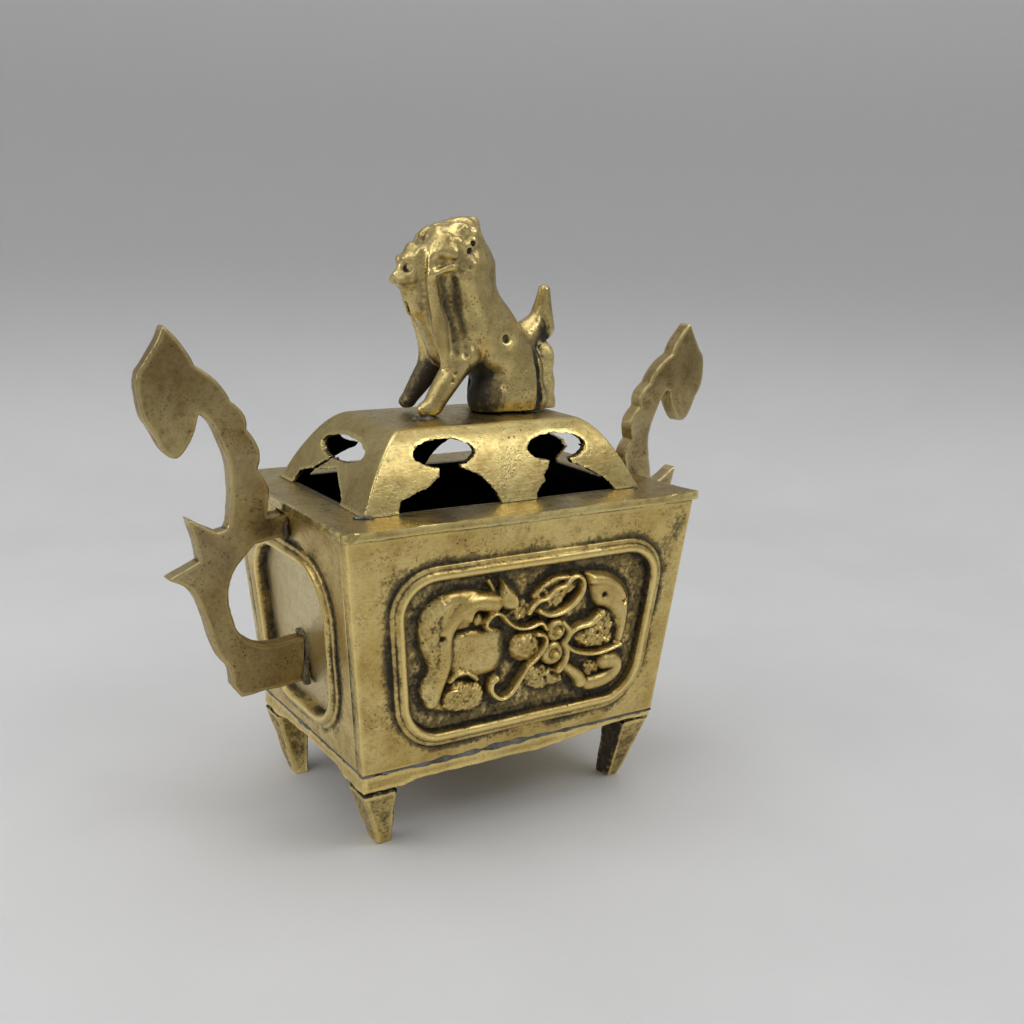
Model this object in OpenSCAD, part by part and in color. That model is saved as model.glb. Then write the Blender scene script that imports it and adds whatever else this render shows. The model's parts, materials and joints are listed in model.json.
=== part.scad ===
// Footed rectangular incense burner with a lift-off pierced lid.
// Millimetres. Z is up, the origin is on the floor under the middle of the body,
// X runs through the two handles and the decorated front faces -Y.

/* [Body] */
// Width over the side walls at the rim
body_top_w = 88; // [84:1:90]
// Depth over the front and back walls at the rim
body_top_d = 65; // [62:1:66]
// Width over the side walls at the bottom
body_bottom_w = 77; // [74:1:80]
// Depth over the front and back walls at the bottom
body_bottom_d = 57; // [55:1:60]
// Height of the bottom edge of the walls above the floor
body_z = 19.2; // [18.4:0.2:21]
// Height of the rim above the floor
rim_z = 71.5; // [70:0.5:73]
// Wall thickness
wall_t = 3; // [2.4:0.2:3.4]

/* [Panels] */
// Height of the moulded frame on each wall
panel_h = 39.5; // [38:0.5:41]
// Width of the frame on the front and back walls
front_panel_w = 66; // [64:1:68]
// Width of the frame on the side walls
side_panel_w = 41; // [38:1:43]
// Width of the raised bead of the frame
bead_w = 2.2; // [1.6:0.2:2.8]
// Height of the raised bead above the wall
bead_h = 1.5; // [1:0.1:2]
// Depth of the field inside the frame below the wall face
field_depth = 1; // [0.8:0.1:1.4]

/* [Feet] */
// Width of a foot where it meets the base plate
foot_top = 8; // [7:0.5:9]
// Width of a foot at the floor
foot_tip = 3.4; // [2.8:0.2:4.4]

/* [Handles] */
// Thickness of the flat handles
handle_t = 4.2; // [3:0.2:6]

/* [Lid] */
// Width of the flat lid plate
lid_w = 90; // [89:0.5:92]
// Depth of the flat lid plate
lid_d = 66; // [65:0.5:68]
// Thickness of the lid plate
lid_t = 2; // [1.5:0.25:2.5]
// Width of the dome at its foot
dome_w = 71; // [70:0.5:74]
// Depth of the dome at its foot
dome_d = 45.4; // [45:0.2:48]
// Height of the dome above the lid plate
dome_h = 17; // [16.5:0.25:18]
// Thickness of the dome
dome_t = 1.4; // [1:0.1:1.8]

/* [Hidden] */
$fn = 40;

brass = "#b59a58";
dark_brass = "#8d7540";
solder = "#8b8c8a";

FRONT = 0;
LEFT = -90;
BACK = 180;
RIGHT = 90;
FAR = 200;

wall_h = rim_z - body_z;
run_w = (body_top_w - body_bottom_w) / 2;
run_d = (body_top_d - body_bottom_d) / 2;
lean_w = atan(run_w / wall_h);
lean_d = atan(run_d / wall_h);

panel_mid = 24.6;
front_panel_shift = 1;
front_panel_r = 10;
side_panel_r = 13;
step_w = 1.1;
step_h = 0.7;
joint_gap = 0.5;

foot_gap = 0.3;
base_top = body_z - joint_gap;
left_foot_z = 14.8;
right_foot_z = 17.6;
// Underside of the base plate: share of its half length or depth, and height. It drops to
// the left feet and thins out towards the right ones
long_underside = [
    [-1, left_foot_z], [-0.76, left_foot_z], [-0.68, 15.8], [-0.5, 15.9], [-0.1, 15.6], [0.1, 15.6],
    [0.3, 15.9], [0.46, 16.6], [0.62, 17.4], [0.75, right_foot_z], [1, right_foot_z]];
short_underside = [
    [-1, left_foot_z], [-0.68, left_foot_z], [-0.5, 16], [0, 16.4],
    [0.5, 16], [0.68, left_foot_z], [1, left_foot_z]];
// Outer corner of each foot on the floor: the castings lean in by different amounts
foot_corners = [[-32.8, -24], [34.6, -21.8], [-35.4, 21], [34.4, 22]];

lug_top_z = 71;
lug_low_z = 66;
lower_lug_top_z = 42.2;
lower_lug_low_z = 32;
lug_x = 48;
spur_z = 72;
right_turn = 5;
right_head_scale = 0.94;
right_head_shift = -1;

collar_t = 1.5;
collar_h = 3.5;
collar_gap = 1.1;
plate_z = rim_z + lid_t;
dome_lean_w = 13;
dome_lean_d = 9.9;
dome_crown = 0.7;
dome_curve = 1.7;
lion_z = plate_z + dome_h;
rivet_x = 11;
rivet_r = 2;

// Half width of the body at height z
function half_w(z) = body_bottom_w / 2 + (z - body_z) * run_w / wall_h;

// Points along an arc of radius r round the point c, from angle a to angle b
function arc(c, r, a, b, n = 8) =
    [for (i = [0 : n]) c + r * [cos(a + (b - a) * i / n), sin(a + (b - a) * i / n)]];

// Points along a curve that leaves a towards b and arrives at c
function bend(a, b, c, n = 6) =
    [for (i = [0 : n]) let (t = i / n) a * (1 - t) * (1 - t) + b * 2 * t * (1 - t) + c * t * t];

// An ellipse round the point c
function oval(c, rx, ry, n = 28) =
    [for (i = [0 : n - 1]) c + [rx * cos(360 * i / n), ry * sin(360 * i / n)]];

// A rounded panel, centred, whose sides spread upwards like the wall it sits on
function panel(w, h, r, spread) =
    let (x = w / 2 - r, y = h / 2 - r, pts = concat(
        arc([x, y], r, 0, 90), arc([-x, y], r, 90, 180),
        arc([-x, -y], r, 180, 270), arc([x, -y], r, 270, 360)))
    [for (p = pts) [p[0] * (1 + p[1] * tan(spread) / (w / 2)), p[1]]];

// Extrudes a drawing in X and Z along Y
module along_y() {
    rotate([90, 0, 0]) linear_extrude(FAR, center = true) children();
}

// Extrudes a drawing in Y and Z along X
module along_x() {
    rotate([90, 0, 90]) linear_extrude(FAR, center = true) children();
}

// Places children on a wall: X across the face, Y up the slope, Z outwards
module on_wall(side) {
    turned = side == LEFT || side == RIGHT;
    half = turned ? body_bottom_w / 2 : body_bottom_d / 2;
    lean = turned ? lean_w : lean_d;
    rotate([0, 0, side]) translate([0, -half, body_z]) rotate([90 + lean, 0, 0]) children();
}

// A sloping slab seen from its end, from a to b outwards
module sloping_strip(bottom, top, a, b) {
    polygon([[bottom + a, body_z], [bottom + b, body_z], [top + b, rim_z], [top + a, rim_z]]);
}

module panel_frame(w, r, spread, shift) {
    inner_w = w - 2 * bead_w;
    inner_h = panel_h - 2 * bead_w;
    translate([shift, panel_mid, -step_h]) linear_extrude(step_h * 2) difference() {
        polygon(panel(w + 2 * step_w, panel_h + 2 * step_w, r + step_w, spread));
        polygon(panel(inner_w, inner_h, r - bead_w, spread));
    }
    translate([shift, panel_mid, 0]) linear_extrude(bead_h) difference() {
        polygon(panel(w, panel_h, r, spread));
        polygon(panel(inner_w, inner_h, r - bead_w, spread));
    }
}

module panel_field(w, r, spread, shift) {
    inner_w = w - 2 * bead_w;
    inner_h = panel_h - 2 * bead_w;
    translate([shift, panel_mid, -field_depth]) linear_extrude(FAR)
        polygon(panel(inner_w, inner_h, r - bead_w, spread));
}

// Front or back wall, across the full width of the body
module long_wall(side) {
    difference() {
        union() {
            rotate([0, 0, side]) intersection() {
                along_x() sloping_strip(-body_bottom_d / 2, -body_top_d / 2, 0, wall_t);
                along_y() polygon([
                    [-body_bottom_w / 2, body_z], [body_bottom_w / 2, body_z],
                    [body_top_w / 2, rim_z], [-body_top_w / 2, rim_z]]);
            }
            on_wall(side) panel_frame(front_panel_w, front_panel_r, lean_w, front_panel_shift);
        }
        on_wall(side) panel_field(front_panel_w, front_panel_r, lean_w, front_panel_shift);
    }
}

// Side wall, fitted between the front and back walls
module short_wall(side) {
    difference() {
        union() {
            rotate([0, 0, side + 90]) intersection() {
                along_y() sloping_strip(-body_bottom_w / 2, -body_top_w / 2, 0, wall_t);
                along_x() polygon([
                    [wall_t - body_bottom_d / 2, body_z], [body_bottom_d / 2 - wall_t, body_z],
                    [body_top_d / 2 - wall_t, rim_z], [wall_t - body_top_d / 2, rim_z]]);
            }
            on_wall(side) panel_frame(side_panel_w, side_panel_r, lean_d, 0);
        }
        on_wall(side) panel_field(side_panel_w, side_panel_r, lean_d, 0);
    }
}

module front_wall() {
    color(brass) long_wall(FRONT);
}

module back_wall() {
    color(brass) long_wall(BACK);
}

module left_wall() {
    color(brass) short_wall(LEFT);
}

module right_wall() {
    color(brass) short_wall(RIGHT);
}

// A round bar bent along an arc in the plane of the wall
module coil(c, bend_r, r, a, b) {
    translate(c) rotate([0, 0, a]) rotate_extrude(angle = b - a, $fn = 60)
        translate([bend_r, 0]) circle(r, $fn = 24);
    for (end = [a, b])
        translate(c) rotate([0, 0, end]) translate([bend_r, 0, 0]) sphere(r * 1.03, $fn = 24);
}

// A low boss that stands out of the wall
module boss(c, r) {
    translate(c) sphere(r, $fn = 24);
}

// Plaque with a coiled dragon: a body loop on the left, the head in the middle and
// the hind part on the right
module dragon_relief(side) {
    plaque_t = 0.4;
    edge = bead_w + 0.1;
    on_wall(side) translate([0, panel_mid, -field_depth]) intersection() {
        translate([-FAR / 2, -FAR / 2, 0]) cube([FAR, FAR, 4.6]);
        union() {
            linear_extrude(plaque_t) translate([front_panel_shift, 0]) polygon(panel(
                front_panel_w - 2 * edge, panel_h - 2 * edge, front_panel_r - edge, lean_w));
            coil([-16, 5, 0], 8.6, 3, 60, 205);
            coil([-37, -1, 0], 13.4, 2.7, -32, 14);
            boss([-24, -11, 0], 3.6);
            boss([-18, -10.5, 0], 3.6);
            boss([-12.5, -9.5, 0], 3.3);
            translate([-18, -6.5, 0]) cube([13, 11, 1.4]);
            coil([-9, 2.5, 0], 3.4, 1.1, 60, 150);
            coil([-4.5, 9.5, 0], 4.2, 1, 240, 330);
            boss([1.2, -1, 0], 4.3);
            boss([7.8, 1.2, 0], 3);
            boss([7.6, -4, 0], 3);
            coil([-4, -10.4, 0], 3.2, 1.1, 170, 330);
            coil([-8, 0, 0], 10.4, 1, -60, -30);
            coil([8.8, 8.2, 0], 4.4, 1.7, -150, 60);
            coil([8, 14.8, 0], 7.4, 1.5, 215, 290);
            boss([-5, 13.6, 0], 2.4);
            coil([18, 3.4, 0], 8.4, 3.1, -40, 115);
            coil([17.6, -2.8, 0], 4.2, 1, -170, -20);
            boss([24.5, -9, 0], 3.2);
            boss([21, -14.2, 0], 2.6);
            boss([15.6, -13.4, 0], 2.8);
            boss([9.5, -10.4, 0], 2.6);
            boss([4.4, -11.6, 0], 2.4);
        }
    }
}

module front_dragon_relief() {
    color(brass) dragon_relief(FRONT);
}

module back_dragon_relief() {
    color(brass) dragon_relief(BACK);
}

// Base plate seen from one side: flat top and the given underside
function base_profile(half, underside) = concat(
    [[half, base_top], [-half, base_top]], [for (p = underside) [p[0] * half, p[1]]]);

module base_plate() {
    half_x = body_bottom_w / 2 - 0.2;
    half_y = body_bottom_d / 2 - 0.2;
    color(brass) intersection() {
        along_y() polygon(base_profile(half_x, long_underside));
        along_x() polygon(base_profile(half_y, short_underside));
    }
}

// Solder that joins the walls to the base plate and stands a little proud
module base_solder_bead() {
    proud = 0.35;
    color(solder) translate([0, 0, base_top]) linear_extrude(joint_gap) difference() {
        square([body_bottom_w + 2 * proud, body_bottom_d + 2 * proud], center = true);
        square([body_bottom_w - 2 * wall_t, body_bottom_d - 2 * wall_t], center = true);
    }
}

// Tapered square foot that ends at the given outer corner on the floor
module foot(corner) {
    sx = sign(corner[0]);
    sy = sign(corner[1]);
    x1 = body_bottom_w / 2 - 0.2;
    y1 = body_bottom_d / 2 - 0.2;
    top = (sx < 0 ? left_foot_z : right_foot_z) - foot_gap;
    color(brass) {
        intersection() {
            along_y() polygon([
                [sx * (x1 - foot_top), top], [sx * x1, top],
                [corner[0], 0], [corner[0] - sx * foot_tip, 0]]);
            along_x() polygon([
                [sy * (y1 - foot_top), top], [sy * y1, top],
                [corner[1], 0], [corner[1] - sy * foot_tip * 1.4, 0]]);
        }
        translate([sx * (x1 - foot_top / 2), sy * (y1 - foot_top / 2), top - 0.2])
            linear_extrude(foot_gap + 0.2) square(foot_top - 1.4, center = true);
    }
}

module front_left_foot() {
    foot(foot_corners[0]);
}

module front_right_foot() {
    foot(foot_corners[1]);
}

module back_left_foot() {
    foot(foot_corners[2]);
}

module back_right_foot() {
    foot(foot_corners[3]);
}

// Inside of the body, up to the given height
module cavity(top) {
    intersection() {
        along_y() polygon([
            [wall_t - body_bottom_w / 2, body_z], [body_bottom_w / 2 - wall_t, body_z],
            [half_w(top) - wall_t, top], [wall_t - half_w(top), top]]);
        along_x() polygon([
            [wall_t - body_bottom_d / 2, body_z], [body_bottom_d / 2 - wall_t, body_z],
            [body_top_d / 2 - wall_t, rim_z], [wall_t - body_top_d / 2, rim_z]]);
    }
}

// Bead of solder up the inside corner of two walls, ending below the lid's collar
module corner_solder(sx, sy) {
    bead_r = 2.4;
    color(solder) intersection() {
        cavity(rim_z - collar_h - 1);
        translate([sx * (body_bottom_w / 2 - wall_t), sy * (body_bottom_d / 2 - wall_t), body_z])
            rotate([0, atan2(norm([run_w, run_d]), wall_h), atan2(sy * run_d, sx * run_w)])
            cylinder(r = bead_r, h = FAR, center = true, $fn = 24);
    }
}

module front_left_corner_solder() {
    corner_solder(-1, -1);
}

module front_right_corner_solder() {
    corner_solder(1, -1);
}

module back_left_corner_solder() {
    corner_solder(-1, 1);
}

module back_right_corner_solder() {
    corner_solder(1, 1);
}

// Flat handle seen from the front: an archaic dragon head on a scalloped neck, two spurs
// and two lugs that run into the wall; the part above the spurs is drawn at the given height
// and moved sideways by the given shift
module handle_outline(head_scale, head_shift) {
    outline = concat(
        [[half_w(lug_top_z) - wall_t / 2, lug_top_z], [48.2, lug_top_z]],
        bend([47.9, 75.5], [47.4, 77.8], [50.1, 80.9]),
        bend([50.1, 81.2], [48.6, 86.5], [52.4, 89.8]),
        bend([52.4, 90.1], [52, 93.4], [56, 96]),
        bend([56, 96.3], [57.4, 100], [62.9, 103.4]),
        bend([63.2, 103.6], [64.6, 107.4], [68.8, 111.4]),
        bend([69.2, 111], [71, 106.5], [74.2, 102.6]),
        bend([74.4, 102], [75.8, 97], [72.9, 92]),
        bend([72.6, 91.6], [69.8, 84.6], [67.4, 84.8]),
        bend([67, 84.8], [64, 86.2], [62.6, 93.4]),
        bend([61.8, 93.4], [58, 89.6], [56.2, 81]),
        bend([56.1, 80], [55.8, 75], [56.6, 70]),
        [[57.2, 68.8], [59.1, 68.3], [65.3, 71.7], [63.2, 62.4], [70, 59.4]],
        bend([69.6, 59], [64.4, 57.6], [62.4, 49.6]),
        bend([62.2, 49], [61, 41.6], [57.4, 37.8]),
        [[57, 36.6], [56.9, 33.4], [54.9, 30.8]],
        [[half_w(lower_lug_low_z) - wall_t / 2, lower_lug_low_z],
            [half_w(lower_lug_top_z) - wall_t / 2, lower_lug_top_z]],
        bend([47, 41.4], [52.6, 41.2], [55.8, 46.8]),
        bend([56, 47.4], [59.4, 57], [53.4, 62.6]),
        [[51, 65], [half_w(lug_low_z) - wall_t / 2, lug_low_z]]);
    blend_h = 8;
    polygon([for (p = outline) let (up = max(0, p[1] - spur_z))
        [p[0] + head_shift * min(1, up / blend_h), p[1] - up * (1 - head_scale)]]);
}

// Handle on one side, turned a little about its lugs and cut off where it meets the wall
module handle(side, turn, head_scale, head_shift) {
    split = (lug_low_z - 4 - body_z) / cos(lean_w);
    difference() {
        mirror([side == LEFT ? 1 : 0, 0, 0]) translate([lug_x, 0, 0]) rotate([90, 0, turn])
            linear_extrude(handle_t, center = true) translate([-lug_x, 0])
            handle_outline(head_scale, head_shift);
        on_wall(side) translate([-FAR / 2, split, -FAR]) cube(FAR);
        on_wall(side) translate([-FAR / 2, split - FAR, -FAR - field_depth]) cube(FAR);
    }
}

module left_handle() {
    color(dark_brass) handle(LEFT, 0, 1, 0);
}

module right_handle() {
    color(dark_brass) handle(RIGHT, right_turn, right_head_scale, right_head_shift);
}

// Collar of solder round a lug where it meets the wall, standing on the given depth of wall
module lug_solder(side, low_z, top_z, depth) {
    height = 0.9;
    margin = 1.1;
    low = (low_z - body_z) / cos(lean_w) - margin;
    high = (top_z - body_z) / cos(lean_w) + margin;
    color(solder) difference() {
        on_wall(side) translate([-handle_t / 2 - margin, low, -depth])
            cube([handle_t + 2 * margin, high - low, height]);
        if (side == LEFT) handle(LEFT, 0, 1, 0);
        else handle(RIGHT, right_turn, right_head_scale, right_head_shift);
        translate([0, 0, rim_z]) linear_extrude(FAR) square(FAR, center = true);
    }
}

module left_handle_upper_solder() {
    lug_solder(LEFT, lug_low_z + 0.6, lug_top_z - 0.9, 0);
}

module left_handle_lower_solder() {
    lug_solder(LEFT, lower_lug_low_z, lower_lug_top_z, field_depth);
}

module right_handle_upper_solder() {
    lug_solder(RIGHT, lug_low_z + 0.6, lug_top_z - 0.9, 0);
}

module right_handle_lower_solder() {
    lug_solder(RIGHT, lower_lug_low_z, lower_lug_top_z, field_depth);
}

module lid_plate() {
    ledge = 0.2;
    opening_w = dome_w - 2 * (dome_t + ledge);
    opening_d = dome_d - 2 * (dome_t + ledge);
    color(brass) translate([0, 0, rim_z]) linear_extrude(lid_t) difference() {
        square([lid_w, lid_d], center = true);
        square([opening_w, opening_d], center = true);
    }
}

// Strip frame under the plate that keeps the lid centred in the body
module lid_locating_collar() {
    low = rim_z - collar_h;
    w = 2 * (half_w(low) - wall_t - collar_gap + 0.4);
    d = body_bottom_d + 2 * run_d * (low - body_z) / wall_h - 2 * wall_t - 2 * collar_gap + 0.8;
    color(brass) translate([0, 0, low]) linear_extrude(collar_h) difference() {
        square([w, d], center = true);
        square([w - 2 * collar_t, d - 2 * collar_t], center = true);
    }
}

// Profile of the dome: bulging sides that lean in, and a slightly crowned top
function dome_profile(w, h, lean, n = 12) =
    let (side = [for (i = [0 : n]) let (t = i / n)
            [w / 2 - lean * t, (h - dome_crown) * (1 - pow(1 - t, dome_curve))]],
        flat = w / 2 - lean,
        top = [for (i = [1 : n - 1]) let (x = flat * (1 - 2 * i / n))
            [x, h - dome_crown * x * x / flat / flat]])
    concat(side, top, [for (i = [n : -1 : 0]) [-side[i][0], side[i][1]]]);

module dome_form(inset) {
    translate([0, 0, plate_z]) intersection() {
        along_y() polygon(dome_profile(dome_w - 2 * inset, dome_h - inset, dome_lean_w));
        along_x() polygon(dome_profile(dome_d - 2 * inset, dome_h - inset, dome_lean_d));
    }
}

// Oval over an arch, joined by a narrow neck
module front_piercing() {
    polygon(oval([14.5, 10.8], 7.8, 2.9));
    polygon(concat(
        [[28.6, -1], [28.6, 0]],
        bend([27.4, 1.8], [23, 4.4], [17.8, 6.8]),
        [[17.2, 8.6], [12.8, 8.6], [12.2, 6.8]],
        bend([11.4, 6], [9.6, 5], [10, 3.8]),
        [[8.2, 2.4], [6.4, 1], [6.2, -1]]));
}

// Long oval over a lopsided arch, joined by a slit
module side_piercing() {
    polygon(oval([-0.6, 10], 10.6, 2.5));
    polygon([[-3.4, 8.4], [-8.6, 4.6], [-9.4, 5.4], [-4.4, 9]]);
    polygon([[9.4, -1], [10, 1.2], [6, 3.6], [2, 6.2], [-6, 4.8], [-14, 3.6], [-15.6, -1]]);
}

module lid_dome() {
    color(brass) difference() {
        dome_form(0);
        dome_form(dome_t);
        for (turn = [0, 180]) translate([0, 0, plate_z]) rotate([0, 0, turn]) {
            rotate([90, 0, 0]) linear_extrude(FAR) {
                front_piercing();
                mirror([1, 0]) translate([-2, 0]) front_piercing();
            }
            rotate([90, 0, -90]) linear_extrude(FAR) mirror([1, 0]) side_piercing();
        }
        translate([rivet_x, 0, plate_z]) cylinder(r = rivet_r + 0.05, h = FAR);
    }
}

// Dab of solder that ties one corner of the dome to the plate
module dome_solder(sx, sy) {
    color(solder) difference() {
        translate([sx * (dome_w / 2 - 0.2), sy * (dome_d / 2 - 0.2), plate_z]) sphere(r = 1.7, $fn = 24);
        dome_form(0);
        dome_form(dome_t);
        translate([0, 0, plate_z - FAR]) linear_extrude(FAR) square(FAR, center = true);
    }
}

module dome_front_left_solder() {
    dome_solder(-1, -1);
}

module dome_front_right_solder() {
    dome_solder(1, -1);
}

module dome_back_left_solder() {
    dome_solder(-1, 1);
}

module dome_back_right_solder() {
    dome_solder(1, 1);
}

// Rounded bar from point a with radius ra to point b with radius rb
module limb(a, ra, b, rb) {
    d = b - a;
    shrink = 0.96;
    translate(a) sphere(ra, $fn = 32);
    translate(b) sphere(rb, $fn = 32);
    translate(a) rotate([0, acos(d[2] / norm(d)), atan2(d[1], d[0])])
        cylinder(r1 = ra * shrink, r2 = rb * shrink, h = norm(d), $fn = 32);
}

// Seated guardian lion facing the left handle, one cast piece
module lion_finial() {
    color(brass) translate([0, 0, lion_z]) difference() {
        union() {
            limb([12.2, 0, 8.4], 8.8, [3.4, 0, 20.6], 7.8);
            limb([-0.6, 0, 19.6], 8.2, [-1.2, 0, 31.6], 8.9);
            limb([-5, 0, 16.4], 6, [-7.6, 0, 28.2], 7.2);
            limb([-6.4, 0, 33], 6.6, [-11.6, 0, 31.6], 5.2);
            limb([-11, 0, 31.6], 4.6, [-15.8, 0, 30.2], 2.8);
            for (s = [-1, 1]) {
                limb([-2.6, s * 4, 15], 5, [-10.2, s * 4.3, 3.4], 3);
                limb([s < 0 ? 6 : 9, s * 3.1, 3.6], 5.6, [12.4, s * 3, 4], 5.8);
                translate([-12, s * 2.8, 35.4]) sphere(2.6, $fn = 24);
                translate([-5, s * 6.6, 36.6]) sphere(3, $fn = 24);
                translate([-1.4, s * 4.4, 40.2]) sphere(3, $fn = 24);
            }
            translate([-6.6, 0, 39.6]) sphere(3.6, $fn = 24);
            translate([1, 0, 40.6]) sphere(3.6, $fn = 24);
            limb([14, 0, 14.6], 4.6, [19.6, 0, 19], 2.8);
            for (knob = [[20.8, 1, 4.2], [21.2, 6.2, 4], [21.4, 11.4, 3.9]])
                translate([knob[0], 0, knob[1]]) sphere(knob[2], $fn = 24);
            limb([21.2, 0, 18.4], 3.6, [22, 0, 27.8], 1.3);
        }
        translate([0, 0, -FAR]) linear_extrude(FAR) square(FAR, center = true);
        translate([rivet_x, 0, -1]) cylinder(r = rivet_r + 0.05, h = 6);
    }
}

// Rivet through the top of the dome that holds the lion, its head inside
module finial_rivet() {
    shank = 5.5;
    head_h = 1.1;
    inner_top = plate_z + dome_h - dome_t - dome_crown;
    color(dark_brass) translate([rivet_x, 0, 0]) {
        translate([0, 0, inner_top - head_h]) cylinder(r = 3.6, h = head_h);
        translate([0, 0, inner_top - 0.2]) cylinder(r = rivet_r, h = lion_z + shank - inner_top - 1);
    }
}

// Solder under the lion's near front paw
module front_paw_solder() {
    color(solder) difference() {
        translate([-11.2, -4.4, lion_z - 0.8]) cylinder(r1 = 3.6, r2 = 3, h = 0.8);
        dome_form(0);
    }
}

front_wall();
back_wall();
left_wall();
right_wall();
front_dragon_relief();
back_dragon_relief();
base_plate();
base_solder_bead();
front_left_foot();
front_right_foot();
back_left_foot();
back_right_foot();
front_left_corner_solder();
front_right_corner_solder();
back_left_corner_solder();
back_right_corner_solder();
left_handle();
right_handle();
left_handle_upper_solder();
left_handle_lower_solder();
right_handle_upper_solder();
right_handle_lower_solder();
lid_plate();
lid_locating_collar();
lid_dome();
dome_front_left_solder();
dome_front_right_solder();
dome_back_left_solder();
dome_back_right_solder();
lion_finial();
finial_rivet();
front_paw_solder();
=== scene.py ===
import json
import math

import bpy
import numpy as np
from mathutils import Matrix, Vector


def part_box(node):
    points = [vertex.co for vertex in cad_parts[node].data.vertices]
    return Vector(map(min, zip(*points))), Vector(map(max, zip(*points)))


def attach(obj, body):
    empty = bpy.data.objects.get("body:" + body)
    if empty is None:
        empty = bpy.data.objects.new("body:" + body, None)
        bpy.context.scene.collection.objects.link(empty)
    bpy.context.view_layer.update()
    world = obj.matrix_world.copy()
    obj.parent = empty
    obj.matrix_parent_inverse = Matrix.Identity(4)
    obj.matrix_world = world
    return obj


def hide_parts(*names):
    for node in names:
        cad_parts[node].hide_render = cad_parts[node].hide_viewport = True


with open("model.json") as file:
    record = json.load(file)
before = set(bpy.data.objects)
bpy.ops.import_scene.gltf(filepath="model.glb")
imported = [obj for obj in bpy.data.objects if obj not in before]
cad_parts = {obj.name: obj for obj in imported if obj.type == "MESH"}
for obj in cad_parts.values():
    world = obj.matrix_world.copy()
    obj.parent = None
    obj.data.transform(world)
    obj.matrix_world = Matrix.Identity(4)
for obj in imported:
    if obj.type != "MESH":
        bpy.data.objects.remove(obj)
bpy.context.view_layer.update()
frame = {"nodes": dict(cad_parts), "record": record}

MM = 0.001
BODY_OF = {}
for body_name, members in frame["record"]["behaviour"]["bodies"].items():
    for member in members:
        BODY_OF[member] = body_name

# ==== Sizes of the burner in millimetres, as in the CAD part
BOTTOM_Z, RIM_Z = 19.2, 71.5
TOP_W, TOP_D, BOTTOM_W, BOTTOM_D = 88.0, 65.0, 77.0, 57.0
WALL_T = 3.0
WALL_H = RIM_Z - BOTTOM_Z
RUN_W, RUN_D = (TOP_W - BOTTOM_W) / 2, (TOP_D - BOTTOM_D) / 2
LEAN_W, LEAN_D = math.atan(RUN_W / WALL_H), math.atan(RUN_D / WALL_H)
PANEL_MID, PANEL_H = 24.6, 39.5
FRONT_PANEL_W, SIDE_PANEL_W, FRONT_PANEL_SHIFT = 66.0, 41.0, 1.0
FRONT_PANEL_R, SIDE_PANEL_R = 10.0, 13.0
BEAD_W, FIELD = 2.2, 1.0
PLATE_Z = 73.5
LION_Z = 90.5
DOME_W, DOME_D, DOME_H, DOME_T = 71.0, 45.4, 17.0, 1.4


# ==== Distance fields, in millimetres. Every field takes x, y, z arrays that broadcast.
def unit(value):
    return np.clip(value, 0, 1)


def soft_min(a, b, k):
    """Smaller of two fields, blended over the width k."""
    h = np.maximum(k - np.abs(a - b), 0.0) / k
    return np.minimum(a, b) - h * h * k / 4


def soft_max(a, b, k):
    return -soft_min(-a, -b, k)


def ball(p, c, r):
    return np.sqrt((p[0] - c[0]) ** 2 + (p[1] - c[1]) ** 2 + (p[2] - c[2]) ** 2) - r


def egg(p, c, r):
    """Ellipsoid with three radii; near enough to a distance at its surface."""
    q = np.sqrt(((p[0] - c[0]) / r[0]) ** 2 + ((p[1] - c[1]) / r[1]) ** 2 + ((p[2] - c[2]) / r[2]) ** 2)
    return (q - 1) * min(r)


def limb(p, a, ra, b, rb):
    """Round bar from a to b whose radius goes from ra to rb."""
    a, b = np.array(a, float), np.array(b, float)
    d = b - a
    t = ((p[0] - a[0]) * d[0] + (p[1] - a[1]) * d[1] + (p[2] - a[2]) * d[2]) / (d @ d)
    t = unit(t)
    gap = np.sqrt(
        (p[0] - a[0] - t * d[0]) ** 2 + (p[1] - a[1] - t * d[1]) ** 2 + (p[2] - a[2] - t * d[2]) ** 2
    )
    return gap - (ra + (rb - ra) * t)


def strand(p, points, radii):
    """Chain of round bars through the points."""
    out = None
    for i in range(len(points) - 1):
        d = limb(p, points[i], radii[i], points[i + 1], radii[i + 1])
        out = d if out is None else np.minimum(out, d)
    return out


def in_polygon(outline, a, b):
    """Signed distance in a plane to a closed outline."""
    points = np.array(outline, float)
    best = np.full(np.broadcast(a, b).shape, 1e9)
    inside = np.zeros(best.shape, bool)
    for (x0, y0), (x1, y1) in zip(points, np.roll(points, -1, axis=0), strict=True):
        ex, ey = x1 - x0, y1 - y0
        size = ex * ex + ey * ey
        if size < 1e-12:
            continue
        t = unit(((a - x0) * ex + (b - y0) * ey) / size)
        best = np.minimum(best, (a - x0 - t * ex) ** 2 + (b - y0 - t * ey) ** 2)
        if ey != 0:
            inside ^= ((y0 > b) != (y1 > b)) & (a < x0 + (b - y0) * ex / ey)
    best = np.sqrt(best)
    return np.where(inside, -best, best)


def ripple(p, size, seed, waves=9):
    """Smooth pseudo-random field between about -1 and 1, with features of the given size."""
    rng = np.random.default_rng(seed)
    total = 0.0
    for _ in range(waves):
        k = rng.normal(size=3)
        k *= 2 * math.pi / (size * rng.uniform(0.8, 2.2)) / np.linalg.norm(k)
        total = total + np.sin(k[0] * p[0] + k[1] * p[1] + k[2] * p[2] + rng.uniform(0, 2 * math.pi))
    return total / math.sqrt(waves)


def rounded(a, b, r):
    """Where two fields both hold, with their common edge rounded to radius r."""
    u, v = np.maximum(a + r, 0), np.maximum(b + r, 0)
    return np.minimum(np.maximum(a, b), -r) + np.sqrt(u * u + v * v)


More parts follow.
